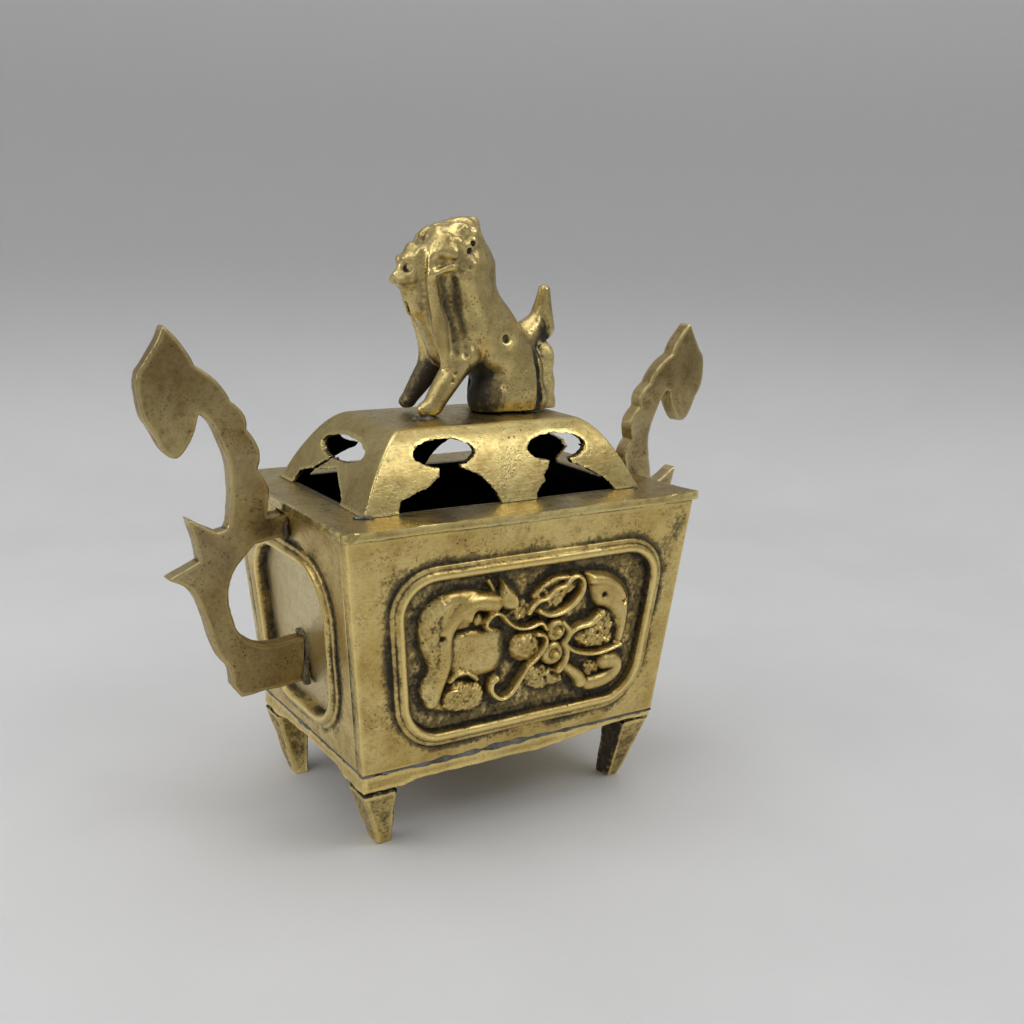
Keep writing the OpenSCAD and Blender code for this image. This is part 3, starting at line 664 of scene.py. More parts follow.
def dragon_height(u, v):
    flat = (u, v, u * 0)
    coarse, small = ripple(flat, 1.7, 11), ripple(flat, 0.8, 12)
    h = 0.45 + 0.1 * coarse + 0.05 * small + 0.03 * ripple(flat, 0.5, 17)
    lumps = 0.22 * ripple(flat, 1.2, 5) + 0.12 * small

    def over(new, k=0.35):
        nonlocal h
        h = soft_max(h, new, k)

    # Smooth pad inside the body's loop, falling away to the right
    over(slab(u, v, PAD, 1.9, 2.6) - 0.07 * np.maximum(u + 10, 0) ** 1.5, 0.9)
    # Serpent body: a rough broad back and a bright inner ridge
    over(slab(u, v, LOOP, 2.7, 2.6) + 0.1 * coarse + 0.1 * small * (u < -21.5))
    over(line(u, v, BACK_RIDGE, (2.4, 1.9), (3.6, 3.2)), 0.7)
    over(slab(u, v, SHOULDER, 3.4, 1.8), 0.6)
    over(knob(u, v, (-17, 3.6), (1.9, 1.3), 2.2))
    # Grainy cloud under the loop, with a bright brow
    over(slab(u, v, CLOUD, 2.6, 2.4) + 0.16 * small + 0.14 * ripple(flat, 0.6, 13))
    over(line(u, v, [(-19.6, -5.6), (-17.9, -4.2), (-15.3, -4.2), (-12.8, -6.2)], 0.8, 2.8) + 0.1 * small)
    over(line(u, v, [(-20.4, -8.6), (-18.6, -7.6), (-16.8, -8.2)], 0.6, 3.1), 0.2)
    # Lumpy ground round the flame and the crest, then the flame
    over(knob(u, v, (-2.8, 7.2), (5.2, 3.0), 1.7) + lumps)
    over(knob(u, v, (-10.4, 11.2), (3.2, 2.2), 2.3) + lumps)
    over(slab(u, v, FLAME, 3.6, 1.6))
    over(line(u, v, [(-10.9, 15.7), (-10, 14.4), (-9.2, 12.8)], 0.7, 1.6))
    over(knob(u, v, (-13, 7.4), (1.4, 1.8), 2.2) + 0.5 * lumps)
    # Moustache that curls up at its left end
    over(line(u, v, MOUSTACHE, 0.72, (3.2, 3.8)), 0.2)
    # Whisker that runs from between the eyes down to a hook
    over(line(u, v, WHISKER, (0.9, 0.6), (4.1, 3.4)), 0.2)
    over(line(u, v, HOOK, (0.5, 1.05), (3.4, 3.2)), 0.2)
    # Snout with two rings of nostrils
    over(knob(u, v, (-0.5, -0.8), (4.2, 3.9), 3.1, 0.8) + 0.5 * lumps)
    for x, y in ((-2.4, 0.5), (0.5, 0.4), (-1.2, -2.2), (1.4, -1.8)):
        ring = np.sqrt((u - x) ** 2 + (v - y) ** 2)
        h = h + 0.22 * np.exp(-((ring - 0.9) / 0.3) ** 2) - 0.25 * np.exp(-(ring / 0.5) ** 2)
    # Eyes with rims
    for x, y, r in ((7.2, 1.7, 2.2), (6.9, -3.8, 2.4)):
        ring = np.sqrt((u - x) ** 2 + (v - y) ** 2)
        over(knob(u, v, (x, y), r + 0.6, 3.1, 0.5))
        h = np.where(ring < r, np.minimum(h, 2.3 + 1.1 * (ring / r) ** 3), h)
        over(knob(u, v, (x, y), 1.3, 4.2, 0.9), 0.15)
    over(line(u, v, CHEEK, (0.9, 1.1), (3.4, 3.2)), 0.2)
    # Crest ribbon folded over a dark hollow
    over(slab(u, v, CREST, 1.9, 1.6) + lumps)
    edge = line(u, v, [(0.6, 10.6), (3, 13), (6.4, 14.4), (9, 14.2)], (0.7, 0.8), (2.3, 2.9))
    over(edge + 0.6 * lumps, 0.3)
    along, across = (u - 10.9) * 0.78 + (v - 9.0) * 0.62, (u - 10.9) * 0.62 - (v - 9.0) * 0.78
    h = h - 1.9 * unit(1.3 - (across / 1.5) ** 2 - (along / 3.2) ** 2)
    over(line(u, v, RIBBON, (0.75, 0.9), (3.2, 3.8)), 0.15)
    # Broad hind part sweeping round the right side, with two pits
    over(slab(u, v, ARM, 2.9, 2.4) + 0.06 * coarse)
    over(line(u, v, HAUNCH, (1.6, 1.0), (3.4, 3.2)), 0.8)
    over(slab(u, v, HOLLOW, 1.8, 2.2) + 1.2 * lumps, 0.8)
    over(knob(u, v, (19.4, 3.4), (2.4, 1.8), 2.5) + 0.7 * lumps)
    for x, y, r in ((19.5, 8.6, 0.6), (25.2, 6.3, 0.55), (-22.1, 4.7, 0.6)):
        h = h - 1.3 * np.exp(-((u - x) ** 2 + (v - y) ** 2) / r ** 2)
    # Right whiskers
    over(line(u, v, UPPER_WHISKER, (0.7, 1.2), (3.2, 3.8)), 0.2)
    over(line(u, v, LOWER_WHISKER, 0.75, 3.1), 0.2)
    # Paws along the bottom right
    over(line(u, v, FRONT_PAW, (1.3, 2.0), (2.6, 3.2)))
    over(line(u, v, HIND_PAW, (2.3, 2.0), (3.1, 2.6)))
    over(knob(u, v, (18.6, -10), (2.6, 2.2), 1.7) + lumps)
    # Short mane below the snout
    over(slab(u, v, SHORT_MANE, 1.5, 1.8) + 1.2 * lumps, 0.7)
    for x, y in ((2.6, -9), (5.4, -8.6), (7.8, -10.6), (4.2, -11.4)):
        over(knob(u, v, (x, y), (1.7, 1.1), 2.2) + lumps, 0.5)
    return np.minimum(h, 4.5)


def relief_mesh():
    """Relief on its field: across, up and out from the field, its faces, its grime with painted shade, and
    its rubbing with painted highlights.
    """
    edge = BEAD_W + 0.12
    ring = panel_ring(FRONT_PANEL_W - 2 * edge, PANEL_H - 2 * edge, FRONT_PANEL_R - edge, LEAN_W, 2, 6)
    ring[:, 0] += FRONT_PANEL_SHIFT

    def field(p):
        u, v, w = p
        inside = in_polygon(ring, u, v)
        return np.maximum(np.maximum((w - dragon_height(u, v)) * 0.7, -w), inside)

    step = 0.26
    places, faces = contour(field, (-34, -18.6, -0.5), (36, 18.6, 5.2), step)
    u, v, w = places.T

    def around(reach):
        """Mean height of eight points at this distance."""
        total = 0
        for k in range(8):
            a = 2 * math.pi * k / 8
            total = total + dragon_height(u + reach * math.cos(a), v + reach * math.sin(a))
        return total / 8

    near, far = around(0.55), around(1.7)
    rim = in_polygon(ring, u, v)
    ground = unit((1.5 - w) / 0.9)
    pad = in_polygon(PAD, u, v) < -0.4
    # Black beside raised shapes and along the rim: grime with painted shade; the pad's right end is a
    # painted shadow.
    sunk = 0.4 * ground * np.where(pad, 0.1, 1) + 1.1 * np.clip(far - w, 0, 2) + unit(near - w)
    sunk = sunk + pad * unit((u + 9) / 3.5) + 0.8 * np.exp(rim / 0.9)
    sunk = sunk + 0.25 * (u < -22.5) * (w > 1.2)
    # Crests are rubbed bright and carry a painted highlight.
    worn_and_highlit = unit((w - far) * 0.55) * unit(w - 1.6)
    worn_and_highlit = worn_and_highlit + 0.2 * unit((w - near) * 2.5) * ground
    return (u, v + PANEL_MID, w - FIELD), faces, unit(sunk), unit(worn_and_highlit)


def relief(node, side, mesh):
    (u, v, w), faces, sunk, worn_and_highlit = mesh
    out = np.stack([u, -(BOTTOM_D / 2 + v * math.sin(LEAN_D) + w * math.cos(LEAN_D)),
                    BOTTOM_Z + v * math.cos(LEAN_D) - w * math.sin(LEAN_D)], 1)
    out = out @ np.array(Matrix.Rotation(math.radians(side), 3, "Z")).T
    piece(node, out, faces, sunk, worn_and_highlit, 70)


DRAGON = relief_mesh()
relief("front_dragon_relief", FRONT, DRAGON)
relief("back_dragon_relief", BACK, DRAGON)


# ==== Base plate, feet and the solder between them and the walls
BASE_TOP, LEFT_FOOT_Z, RIGHT_FOOT_Z, FOOT_GAP = 18.7, 14.8, 17.6, 0.3
FOOT_TOP, FOOT_TIP = 8.0, 3.4
# Underside of the base plate: share of its half length or depth, and height
LONG_UNDERSIDE = np.array([
    (-1, 14.8), (-0.76, 14.8), (-0.72, 15.4), (-0.66, 15.8), (-0.5, 15.9), (-0.1, 15.6), (0.1, 15.6),
    (0.3, 15.9), (0.46, 16.6), (0.62, 17.4), (0.75, 17.6), (1, 17.6)])
SHORT_UNDERSIDE = np.array([
    (-1, 14.8), (-0.68, 14.8), (-0.5, 16), (0, 16.4), (0.5, 16), (0.68, 14.8), (1, 14.8)])
FOOT_CORNERS = {
    "front_left_foot": (-32.8, -24.0), "front_right_foot": (34.6, -21.8),
    "back_left_foot": (-35.4, 21.0), "back_right_foot": (34.4, 22.0),
}
HALF_X, HALF_Y = BOTTOM_W / 2 - 0.2, BOTTOM_D / 2 - 0.2


def base_field(p):
    x, y, z = p
    rough = 0.08 * ripple(p, 4, 21)
    sides = rounded(np.abs(x) - HALF_X + rough, np.abs(y) - HALF_Y + rough, 0.5)
    under = soft_max(np.interp(x / HALF_X, *LONG_UNDERSIDE.T) - z,
                     np.interp(y / HALF_Y, *SHORT_UNDERSIDE.T) - z, 0.3) + rough
    return np.maximum(rounded(sides, under, 0.35), z - BASE_TOP)


def base_dirt(p):
    """Grime along the top edge and underneath, and soot on the floor of the burner."""
    x, y, z = np.abs(p.T)
    inside = (y < HALF_Y - 0.8) * (x < HALF_X - 0.8)
    return 0.5 * (z > BASE_TOP - 0.6) + np.where(z > BASE_TOP - 0.3, 1.2, 0.5) * inside


carve("base_plate", base_field, (-39.5, -29.5, 14), (39.5, 29.5, 19.4), 0.45, extra_grime_and_shade=base_dirt)


def foot(node):
    cx, cy = FOOT_CORNERS[node]
    sx, sy = np.sign(cx), np.sign(cy)
    top = (LEFT_FOOT_Z if cx < 0 else RIGHT_FOOT_Z) - FOOT_GAP

    def slanted(a, z, a0, a1):
        """Distance outside a side that goes from a1 on the floor to a0 at the top."""
        lean = (a0 - a1) / top
        return (a - a1 - lean * z) / math.sqrt(1 + lean * lean)

    def field(p):
        x, y, z = sx * p[0], sy * p[1], p[2]
        waver = 0.12 * ripple(p, 5, int(abs(cx * 7)))
        ex = rounded(slanted(x, z, HALF_X, abs(cx)) + waver,
                     -slanted(x, z, HALF_X - FOOT_TOP, abs(cx) - FOOT_TIP) + waver, 0.3)
        ey = rounded(slanted(y, z, HALF_Y, abs(cy)) + waver,
                     -slanted(y, z, HALF_Y - FOOT_TOP, abs(cy) - FOOT_TIP * 1.4) + waver, 0.3)
        body = rounded(rounded(ex, ey, 0.55), z - top, 0.25)
        return np.maximum(rounded(body, -z, 0.3), -z)

    def darkening(p):
        """Darker on the side that faces the middle, which is painted shade under the burner, and at the top.
        """
        spread = HALF_X - FOOT_TOP - abs(cx) + FOOT_TIP
        inner = sx * p[:, 0] < abs(cx) - FOOT_TIP + p[:, 2] * spread / top + 0.35
        return 0.75 * inner + 0.6 * (p[:, 2] > top - 0.5) + 0.36

    x0, y0 = sx * (HALF_X - FOOT_TOP / 2), sy * (HALF_Y - FOOT_TOP / 2)
    carve(node, field, (x0 - 7, y0 - 8, -0.4), (x0 + 7, y0 + 8, top + 0.5), 0.35, extra_grime_and_shade=darkening)


for node in FOOT_CORNERS:
    foot(node)


# Solder bead at the bottom of the walls: x, middle height, half thickness
SEAM = np.array([
    (-39, 18.95, 0.2), (-30, 18.95, 0.22), (-26, 18.9, 0.35), (-20, 18.95, 0.6), (-14, 19.05, 0.72),
    (-7, 19.2, 0.72), (4, 19.15, 0.5), (12, 19.1, 0.36), (20, 19.05, 0.26), (39, 19.0, 0.24)])


def seam_field(p):
    x, y, z = p
    lump = 0.1 * ripple(p, 7, 31) + 0.06 * ripple(p, 2.6, 32)
    middle = np.where(y < 0, np.interp(x, SEAM[:, 0], SEAM[:, 1]), 18.95)
    thick = np.where(y < 0, np.interp(x, SEAM[:, 0], SEAM[:, 2]), 0.35)
    proud = 0.1 + 0.25 * unit(thick / 0.6)
    ring = np.maximum(np.abs(x) - HALF_X - proud - lump, np.abs(y) - HALF_Y - proud - lump)
    hole = -np.maximum(np.abs(x) - HALF_X + 3, np.abs(y) - HALF_Y + 3)
    return rounded(np.maximum(ring, hole), np.abs(z - middle) - thick - lump, 0.22)


carve("base_solder_bead", seam_field, (-40, -30, 17.8), (40, 30, 20.6), 0.3)


# ==== Lid: plate, dome, lion
LID_X, LID_Y, LID_T, OPENING_X, OPENING_Y = 45, 33, 2.0, 33.9, 21.1


def plate_field(p):
    x, y, z = p
    # The front right corner is bent up a little and the front left one is chewed
    corner = np.maximum((x - 30) / 15, 0) ** 2 * np.maximum((-y - 20) / 13, 0) ** 2
    z = z - 0.55 * corner - 0.07 * ripple((x, y, z * 0), 22, 41)
    nick = 0.1 * ripple(p, 2.4, 42) + 0.07 * ripple(p, 6, 43)
    chewed = 0.9 * np.exp(-(((x + 44.6) / 2.2) ** 2 + ((y + 32.4) / 2.0) ** 2))
    chewed = chewed * np.maximum(ripple(p, 1.6, 44), 0)
    outline = np.maximum(np.abs(x) - LID_X + nick, np.abs(y) - LID_Y + nick) + chewed
    opening = -np.maximum(np.abs(x) - OPENING_X, np.abs(y) - OPENING_Y)
    middle = PLATE_Z - LID_T / 2
    return rounded(np.maximum(outline, opening), np.abs(z - middle) - LID_T / 2, 0.28)


def plate_dirt(p):
    """Grime where the dome meets the plate, and underneath; soot in the opening."""
    gap = np.maximum(np.abs(p[:, 0]) - DOME_W / 2, np.abs(p[:, 1]) - DOME_D / 2)
    foot_line = np.exp(-np.maximum(gap, 0) / 0.7) * (p[:, 2] > 73)
    inner = (np.abs(p[:, 0]) < OPENING_X + 0.5) & (np.abs(p[:, 1]) < OPENING_Y + 0.5)
    return 0.75 * foot_line + 0.9 * (p[:, 2] < 71.56) + 1.5 * inner


carve("lid_plate", plate_field, (-46.5, -34.5, 70.8), (46.5, 34.5, 75), 0.45,
      reach=0.8, extra_grime_and_shade=plate_dirt)


DOME_LEAN_X, DOME_LEAN_Y, CROWN, BULGE = 13, 9.9, 0.7, 1.7


def dome_profile(w, h, lean):
    """Outline across the dome: bulging sides and a slightly crowned top."""
    flat = w / 2 - lean
    side = [(w / 2 - lean * i / 26, (h - CROWN) * (1 - (1 - i / 26) ** BULGE)) for i in range(27)]
    top = [(flat * (1 - 2 * i / 16), h - CROWN * (1 - 2 * i / 16) ** 2) for i in range(1, 16)]
    full = side + top + [(-x, z) for x, z in reversed(side)]
    return full + [(full[-1][0], -4), (full[0][0], -4)]


def bend(a, b, c):
    """Points on a curve that leaves a towards b and arrives at c."""
    out = []
    for i in range(8):
        t = i / 7
        out.append(tuple(a[k] * (1 - t) ** 2 + b[k] * 2 * t * (1 - t) + c[k] * t * t for k in (0, 1)))
    return out


def oval(cx, cz, rx, rz):
    turns = [2 * math.pi * i / 26 for i in range(26)]
    return [(cx + rx * math.cos(a), cz + rz * math.sin(a)) for a in turns]


# Piercings: distance from the middle of the face, and height above the plate
FRONT_HOLES = [
    oval(-14.2, 11.1, 7.6, 2.8),
    [(-27.6, -2), (-27, 1.6)] + bend((-26.4, 2.6), (-22.4, 3.8), (-19.4, 4.8))
    + [(-16.6, 6.6), (-16, 8.8), (-11, 8.8)] + bend((-10.8, 7.8), (-7.4, 7.2), (-4.6, 4))
    + [(-3.2, 2.2), (-2.4, 0), (-2.2, -2)],
    oval(14.8, 10.5, 8.0, 2.9),
    [(6.6, -2), (7.1, 1.4), (8.4, 2.6), (10, 3.6), (9.8, 4.9), (11.4, 6.2), (12.4, 8.4), (17.2, 8.4)]
    + bend((18.2, 6.7), (23.6, 4.8), (27.4, 1.9)) + [(28.8, 0), (29, -2)],
]
SIDE_HOLES = [
    oval(0.7, 10.1, 10.8, 2.5),
    [(15.7, -2), (15.7, 0), (14.5, 3), (10, 4.2), (6.1, 4.7), (-1.7, 6.2), (-6, 3.6), (-10.1, 1.2),
     (-10.4, -2)],
    [(9.2, 4), (9, 4.6), (4.3, 7.2), (4, 8.6), (2.6, 8.2), (3.9, 6.4)],
]
# Extra opening that joins the two piercings of the right face
RIGHT_GAP = oval(2, 6.8, 5, 1.6)


def dome_body(p, inset):
    """Solid dome, drawn in by the inset."""
    z = p[2] - PLATE_Z
    across = in_polygon(dome_profile(DOME_W - 2 * inset, DOME_H - inset, DOME_LEAN_X), p[0], z)
    along = in_polygon(dome_profile(DOME_D - 2 * inset, DOME_H - inset, DOME_LEAN_Y), p[1], z)
    return soft_max(across, along, 0.35)


def dome_field(p):
    x, y, z = p
    shell = np.maximum(dome_body(p, 0.0), -dome_body(p, DOME_T))
    shell = np.maximum(shell, PLATE_Z - z)
    ragged = 0.08 * ripple(p, 2.2, 51) + 0.05 * ripple(p, 1.0, 52)
    # The back and right faces carry the same piercings turned half round
    cut = np.where(x > 0, in_polygon(RIGHT_GAP, -y, z - PLATE_Z), 9)
    for holes, a in ((FRONT_HOLES, x * np.where(y > 0, -1, 1)), (SIDE_HOLES, y * np.where(x > 0, -1, 1))):
        for hole in holes:
            cut = np.minimum(cut, in_polygon(hole, a, z - PLATE_Z))
    return rounded(shell + 0.04 * ripple(p, 12, 53), -(cut + ragged), 0.28)


def dome_grime_and_shadow(p):
    inside = dome_body(p.T, DOME_T * 0.6) < 0
    low = np.exp(-(p[:, 2] - PLATE_Z) / 0.9)
    # Painted shadow and reflection of the lion on the top of the dome.
    top = unit((p[:, 2] - PLATE_Z - DOME_H + 1.3) / 0.8) * np.exp(-((p[:, 0] - 4) / 16) ** 2)
    return 1.5 * inside + 0.6 * low + 0.25 * top


def dome_edge_highlight(p):
    """Painted highlight: a bright line along the four sloping edges."""
    z = p[:, 2] - PLATE_Z
    across = in_polygon(dome_profile(DOME_W, DOME_H, DOME_LEAN_X), p[:, 0], z)
    gap = across - in_polygon(dome_profile(DOME_D, DOME_H, DOME_LEAN_Y), p[:, 1], z)
    return 1.2 * np.exp(-(gap / 0.35) ** 2) * unit((DOME_H - 1.0 - z) / 1.5)


dome_step = 0.36
carve("lid_dome", dome_field, (-36.4, -23.6, 73), (36.4, 23.6, 91.2), dome_step,
      reach=0.6, extra_grime_and_shade=dome_grime_and_shadow, extra_wear_and_highlight=dome_edge_highlight, sharp=32)


CURLS = [(-9.2, -5.8, 36.0, 1.5), (-7.4, -5.6, 38.5, 1.4), (-5.4, -6.6, 38.2, 1.3), (-3.4, -6.0, 40.8, 1.4),
         (-1.4, -6.2, 40.2, 1.2), (-6.6, -6.9, 35.9, 1.3)]
CASTING_HOLES = [
    (6.8, -7.7, 17.0, 1.0), (-10.8, -5.9, 20.4, 0.7), (-6.6, -7.6, 8.0, 0.7), (-5.9, -7.4, 9.6, 0.4),
    (-3.2, -7.9, 36.4, 0.8), (-5.2, -8.2, 34.2, 0.7), (-3.6, -8.9, 32.8, 0.6), (-2.2, -7.6, 38.0, 0.6)]


def lion_field(q):
    p = (q[0], q[1], q[2] - LION_Z)
    side = (p[0], -np.abs(p[1]), p[2])

    def cut(shape, blend):
        nonlocal body
        body = soft_max(body, -shape, blend)

    def groove(points, radii, blend):
        cut(strand(side, points, radii), blend)

    def add(shape, blend):
        nonlocal body
        body = soft_min(body, shape, blend)

    body = limb(p, (12.2, 0, 8.4), 8.6, (3.6, 0, 20.6), 7.6)
    add(limb(p, (-0.4, 0, 19.8), 7.8, (-1.6, 0, 31.4), 8.4), 2.5)
    add(limb(p, (-3.6, 0, 15.4), 5.2, (-7.2, 0, 28.4), 6.5), 2)
    add(limb(p, (-6.4, 0, 33), 6.4, (-11.2, 0, 32), 4.9), 2)
    # Forelegs: the near one is thicker, then the blocky haunches
    add(np.where(p[1] < 0, limb(p, (-2.4, -4.2, 13.4), 3.8, (-9.6, -4.7, 2.8), 2.2),
                 limb(p, (-3.6, 3.8, 14), 3.4, (-11.2, 4.6, 2.6), 1.7)), 1.4)
    add(np.where(p[1] < 0, egg(p, (-11.2, -4.7, 1.4), (2.7, 1.9, 1.7)),
                 egg(p, (-12, 4.6, 1.9), (1.9, 1.7, 1.5))), 0.9)
    add(limb(p, (6.0, -3.2, 3.4), 5.5, (11.8, -3.1, 4), 5.8), 2)
    add(limb(p, (9.6, 3.2, 3.4), 5.5, (11.8, 3.1, 4), 5.8), 2)
    add(limb(p, (11.8, -3.4, 2.8), 5.5, (15.4, -3.4, 3.0), 5.2), 1.5)
    add(limb(side, (8, -4.2, 12.5), 4.4, (12.8, -4.6, 6), 4.4), 1.8)
    # Head: jaw, muzzle, nose, cheeks and brow
    face = limb(p, (-10.4, 0, 31.8), 4.4, (-14.0, 0, 31.0), 2.9)
    for shape, blend in ((limb(p, (-14.4, 0, 28.9), 1.8, (-11.6, 0, 24), 2.9), 1.6),
                         (egg(side, (-15.4, -1.2, 29.9), (2.2, 1.8, 1.5)), 0.8),
                         (ball(p, (-16.6, 0, 30.9), 1.1), 0.6),
                         (limb(side, (-13.8, -2.6, 31.6), 1.6, (-12.2, -2.8, 35.4), 1.6), 1.3),
                         (limb(p, (-14.4, 0, 33), 1.5, (-13.0, 0, 36.2), 1.8), 1.2),
                         (egg(side, (-15.0, -1.3, 34.3), (1.4, 1.6, 1.1)), 0.7)):
        face = soft_min(face, shape, blend)
    add(face, 1.4)
    cut(egg(side, (-16.0, -2.4, 32.3), (1.3, 1.3, 0.7)), 0.7)
    add(ball(side, (-15.0, -2.2, 32.5), 0.65), 0.4)
    groove([(-17.6, -0.6, 28.7), (-15.4, -2.9, 28.6), (-13.4, -4.2, 29.4)], [0.35, 0.4, 0.35], 0.5)
    # Flat-topped crown that rises to a blunt corner at the back
    add(limb(side, (-7.8, -1.8, 38.6), 3.0, (-0.8, -1.8, 40.4), 3.3), 1.0)
    add(ball(p, (-1.0, 0, 34), 7.0), 1.4)
    add(ball(side, (-9.8, -2.2, 36.2), 2.4), 1.0)
    add(egg(side, (-6.4, -4.4, 36.8), (4.6, 3.0, 3.0)), 1.6)
    add(egg(side, (-2.0, -4.2, 38.2), (3.7, 3.4, 3.6)), 1.6)
    add(ball(side, (1.0, -2.0, 42.2), 1.4), 0.8)
    for x, y, z, r in CURLS:
        add(ball(side, (x, y, z), r), 0.7)
    cut(egg(side, (-5.8, -2.8, 43.0), (2.2, 0.9, 0.8)), 0.5)
    # Ear hollow over a bright ledge
    cut(egg(side, (-10.2, -7.0, 33.6), (2.2, 1.5, 1.6)), 0.9)
    add(strand(side, [(-11.9, -5.6, 31.2), (-9.8, -6.3, 31.5), (-6.9, -7.3, 32.9)], [0.6, 0.75, 0.6]), 0.6)
    # Mane: a wide soft valley with finer grooves in it, between a front and a rear ridge
    groove([(-8.6, -7.9, 29.4), (-7.2, -7.9, 24.4), (-5.2, -8.3, 18.6), (-4.0, -8.2, 14.4)],
           [2.2, 2.2, 1.7, 0.9], 1.6)
    groove([(-10.0, -6.3, 30.2), (-8.4, -6.2, 24), (-6.4, -6.9, 18), (-5.4, -7.1, 14)],
           [0.8, 0.8, 0.6, 0.4], 0.8)
    groove([(-6.4, -7.2, 30), (-5.4, -7.1, 24), (-3.9, -7.6, 18), (-3.2, -7.6, 13.6)],
           [0.8, 0.9, 0.7, 0.4], 0.8)
    rear = [(-2.2, -7.6, 33.4), (-2.9, -7.9, 30.4), (-1.6, -7.7, 27), (0.8, -7.0, 22.6), (2.2, -6.2, 18.6)]
    add(strand(side, rear, [1.2, 1.3, 1.3, 1.2, 0.8]), 1.4)
    front = [(-11.4, -4.6, 34.6), (-11.4, -4.6, 30), (-10.0, -4.6, 24), (-8.2, -4.8, 18), (-7.0, -4.7, 12)]
    add(strand(side, front, [1.6, 1.6, 1.6, 1.5, 1.3]), 1.6)
    # Wide furrow between face and mane, and curls down the chest
    groove([(-12.8, -5.2, 38.4), (-13.6, -5.0, 34), (-13.6, -4.8, 29.6), (-12.4, -4.2, 25),
            (-10.8, -3.8, 20)],
           [0.9, 1.2, 1.2, 0.9, 0.6], 1.0)
    cut(strand(p, [(-14.4, 0, 24.6), (-11.6, 0, 18), (-9.2, 0, 13)], [0.4, 0.7, 0.6]), 0.9)
    # Toes
    for y in (-3.8, -5.2):
        groove([(-14.4, y, 1.7), (-12.8, y, 0.2)], [0.3, 0.3], 0.3)
    # Tail of wide beads below a hollowed flame
    for z, r in ((0.8, 3.7), (6.1, 3.55), (11.4, 3.3)):
        add(egg(p, (20.4, 0, z), (r, 6.4, 4.9)), 0.9)
    add(limb(p, (14, 0, 14.6), 4.6, (19.6, 0, 19), 2.8), 1.2)
    flame = limb(p, (21.3, 0, 18.8), 3.3, (22.1, 0, 27.2), 1.6)
    flame = soft_max(flame, -egg(side, (20.5, -3.6, 19.2), (1.9, 2.3, 3.9)), 0.7)
    add(flame, 0.8)
    groove([(16.4, -5.0, 16.6), (15.9, -7.0, 11), (16.0, -8.2, 5), (16.3, -8.4, 0)],
           [0.5, 0.7, 0.8, 0.8], 0.8)
    for x, y, z, r in CASTING_HOLES:
        cut(ball(p, (x, y, z), r), 0.25)
    rough = 0.12 * ripple(p, 1.5, 63) * unit((p[2] - 30) / 6) * unit((p[0] + 13) / 3)
    body = body + 0.07 * ripple(p, 3.2, 61) + 0.12 * ripple(p, 7, 62) + rough
    # Flat underside, lifted a little under the haunch's near edge and under the far paw
    paws = np.where(p[1] > 0, 0.5, 0.05)
    floor = np.where(p[0] > 2, 0.3 * unit((-p[1] - 1) / 5), paws)
    return soft_max(body, floor - p[2], 0.3)


def lion_shade_and_grime(p):
    """Dark bronze colour on the far foreleg, under the belly and at the paws, which is painted shade, and in
    the mane and by the tail.
    """
    x, y, z = p[:, 0], np.abs(p[:, 1]), p[:, 2] - LION_Z
    # Painted shade on the far foreleg.
    far_leg = unit((p[:, 1] - 0.4) / 1.2) * unit((14 - z) / 3) * (x < -3)
    face = 0.2 * unit((-12 - x) / 2) * unit((z - 24) / 3)
    # Painted shade under the belly and low on the far side.
    belly = unit((8 - x) / 6) * unit((x + 4.5) / 2) * unit((12.5 - z) / 3)
    belly = belly + (p[:, 1] > 1.5) * (x > -2) * unit((9 - z) / 3)
    along = x + 8.0 - (30 - z) * 0.26
    valley = np.exp(-(along / 2.6) ** 2) * unit((z - 12) / 8) * unit((33 - z) / 2)
    valley = valley * (0.72 + 0.4 * np.cos(2 * math.pi * (along + 0.15 * np.sin(z / 1.7)) / 2.9 + 2.6))
    pore = np.exp(-((x + 3.4) / 2.2) ** 2 - ((z - 35.5) / 4.5) ** 2)
    root = np.exp(-((x - 16.2) / 1.5) ** 2) * unit((18 - z) / 4)
    hollow = np.exp(-((x - 20.2) / 1.6) ** 2 - ((z - 18.4) / 3.2) ** 2) * unit(y / 2)
    # Painted shade where the paws sit on the dome.
    paws = np.exp(-z / 0.7)
    return (face + 0.8 * far_leg + belly + 0.72 * valley + 0.3 * pore + 0.6 * root + 0.75 * hollow
            + 0.6 * paws)


lion_step = 0.36
carve("lion_finial", lion_field, (-20.4, -10.8, LION_Z - 0.8), (27.4, 10.8, LION_Z + 45.6), lion_step,
      reach=1.4, extra_grime_and_shade=lion_shade_and_grime, sharp=80)


# ==== Handles: flat castings cut to an archaic dragon-head outline
LUG_X, SPUR_Z, HANDLE_T = 48.0, 72.0, 4.2


def half_w(z):
    """Half width of the burner at this height."""
    return BOTTOM_W / 2 + (z - BOTTOM_Z) * RUN_W / WALL_H


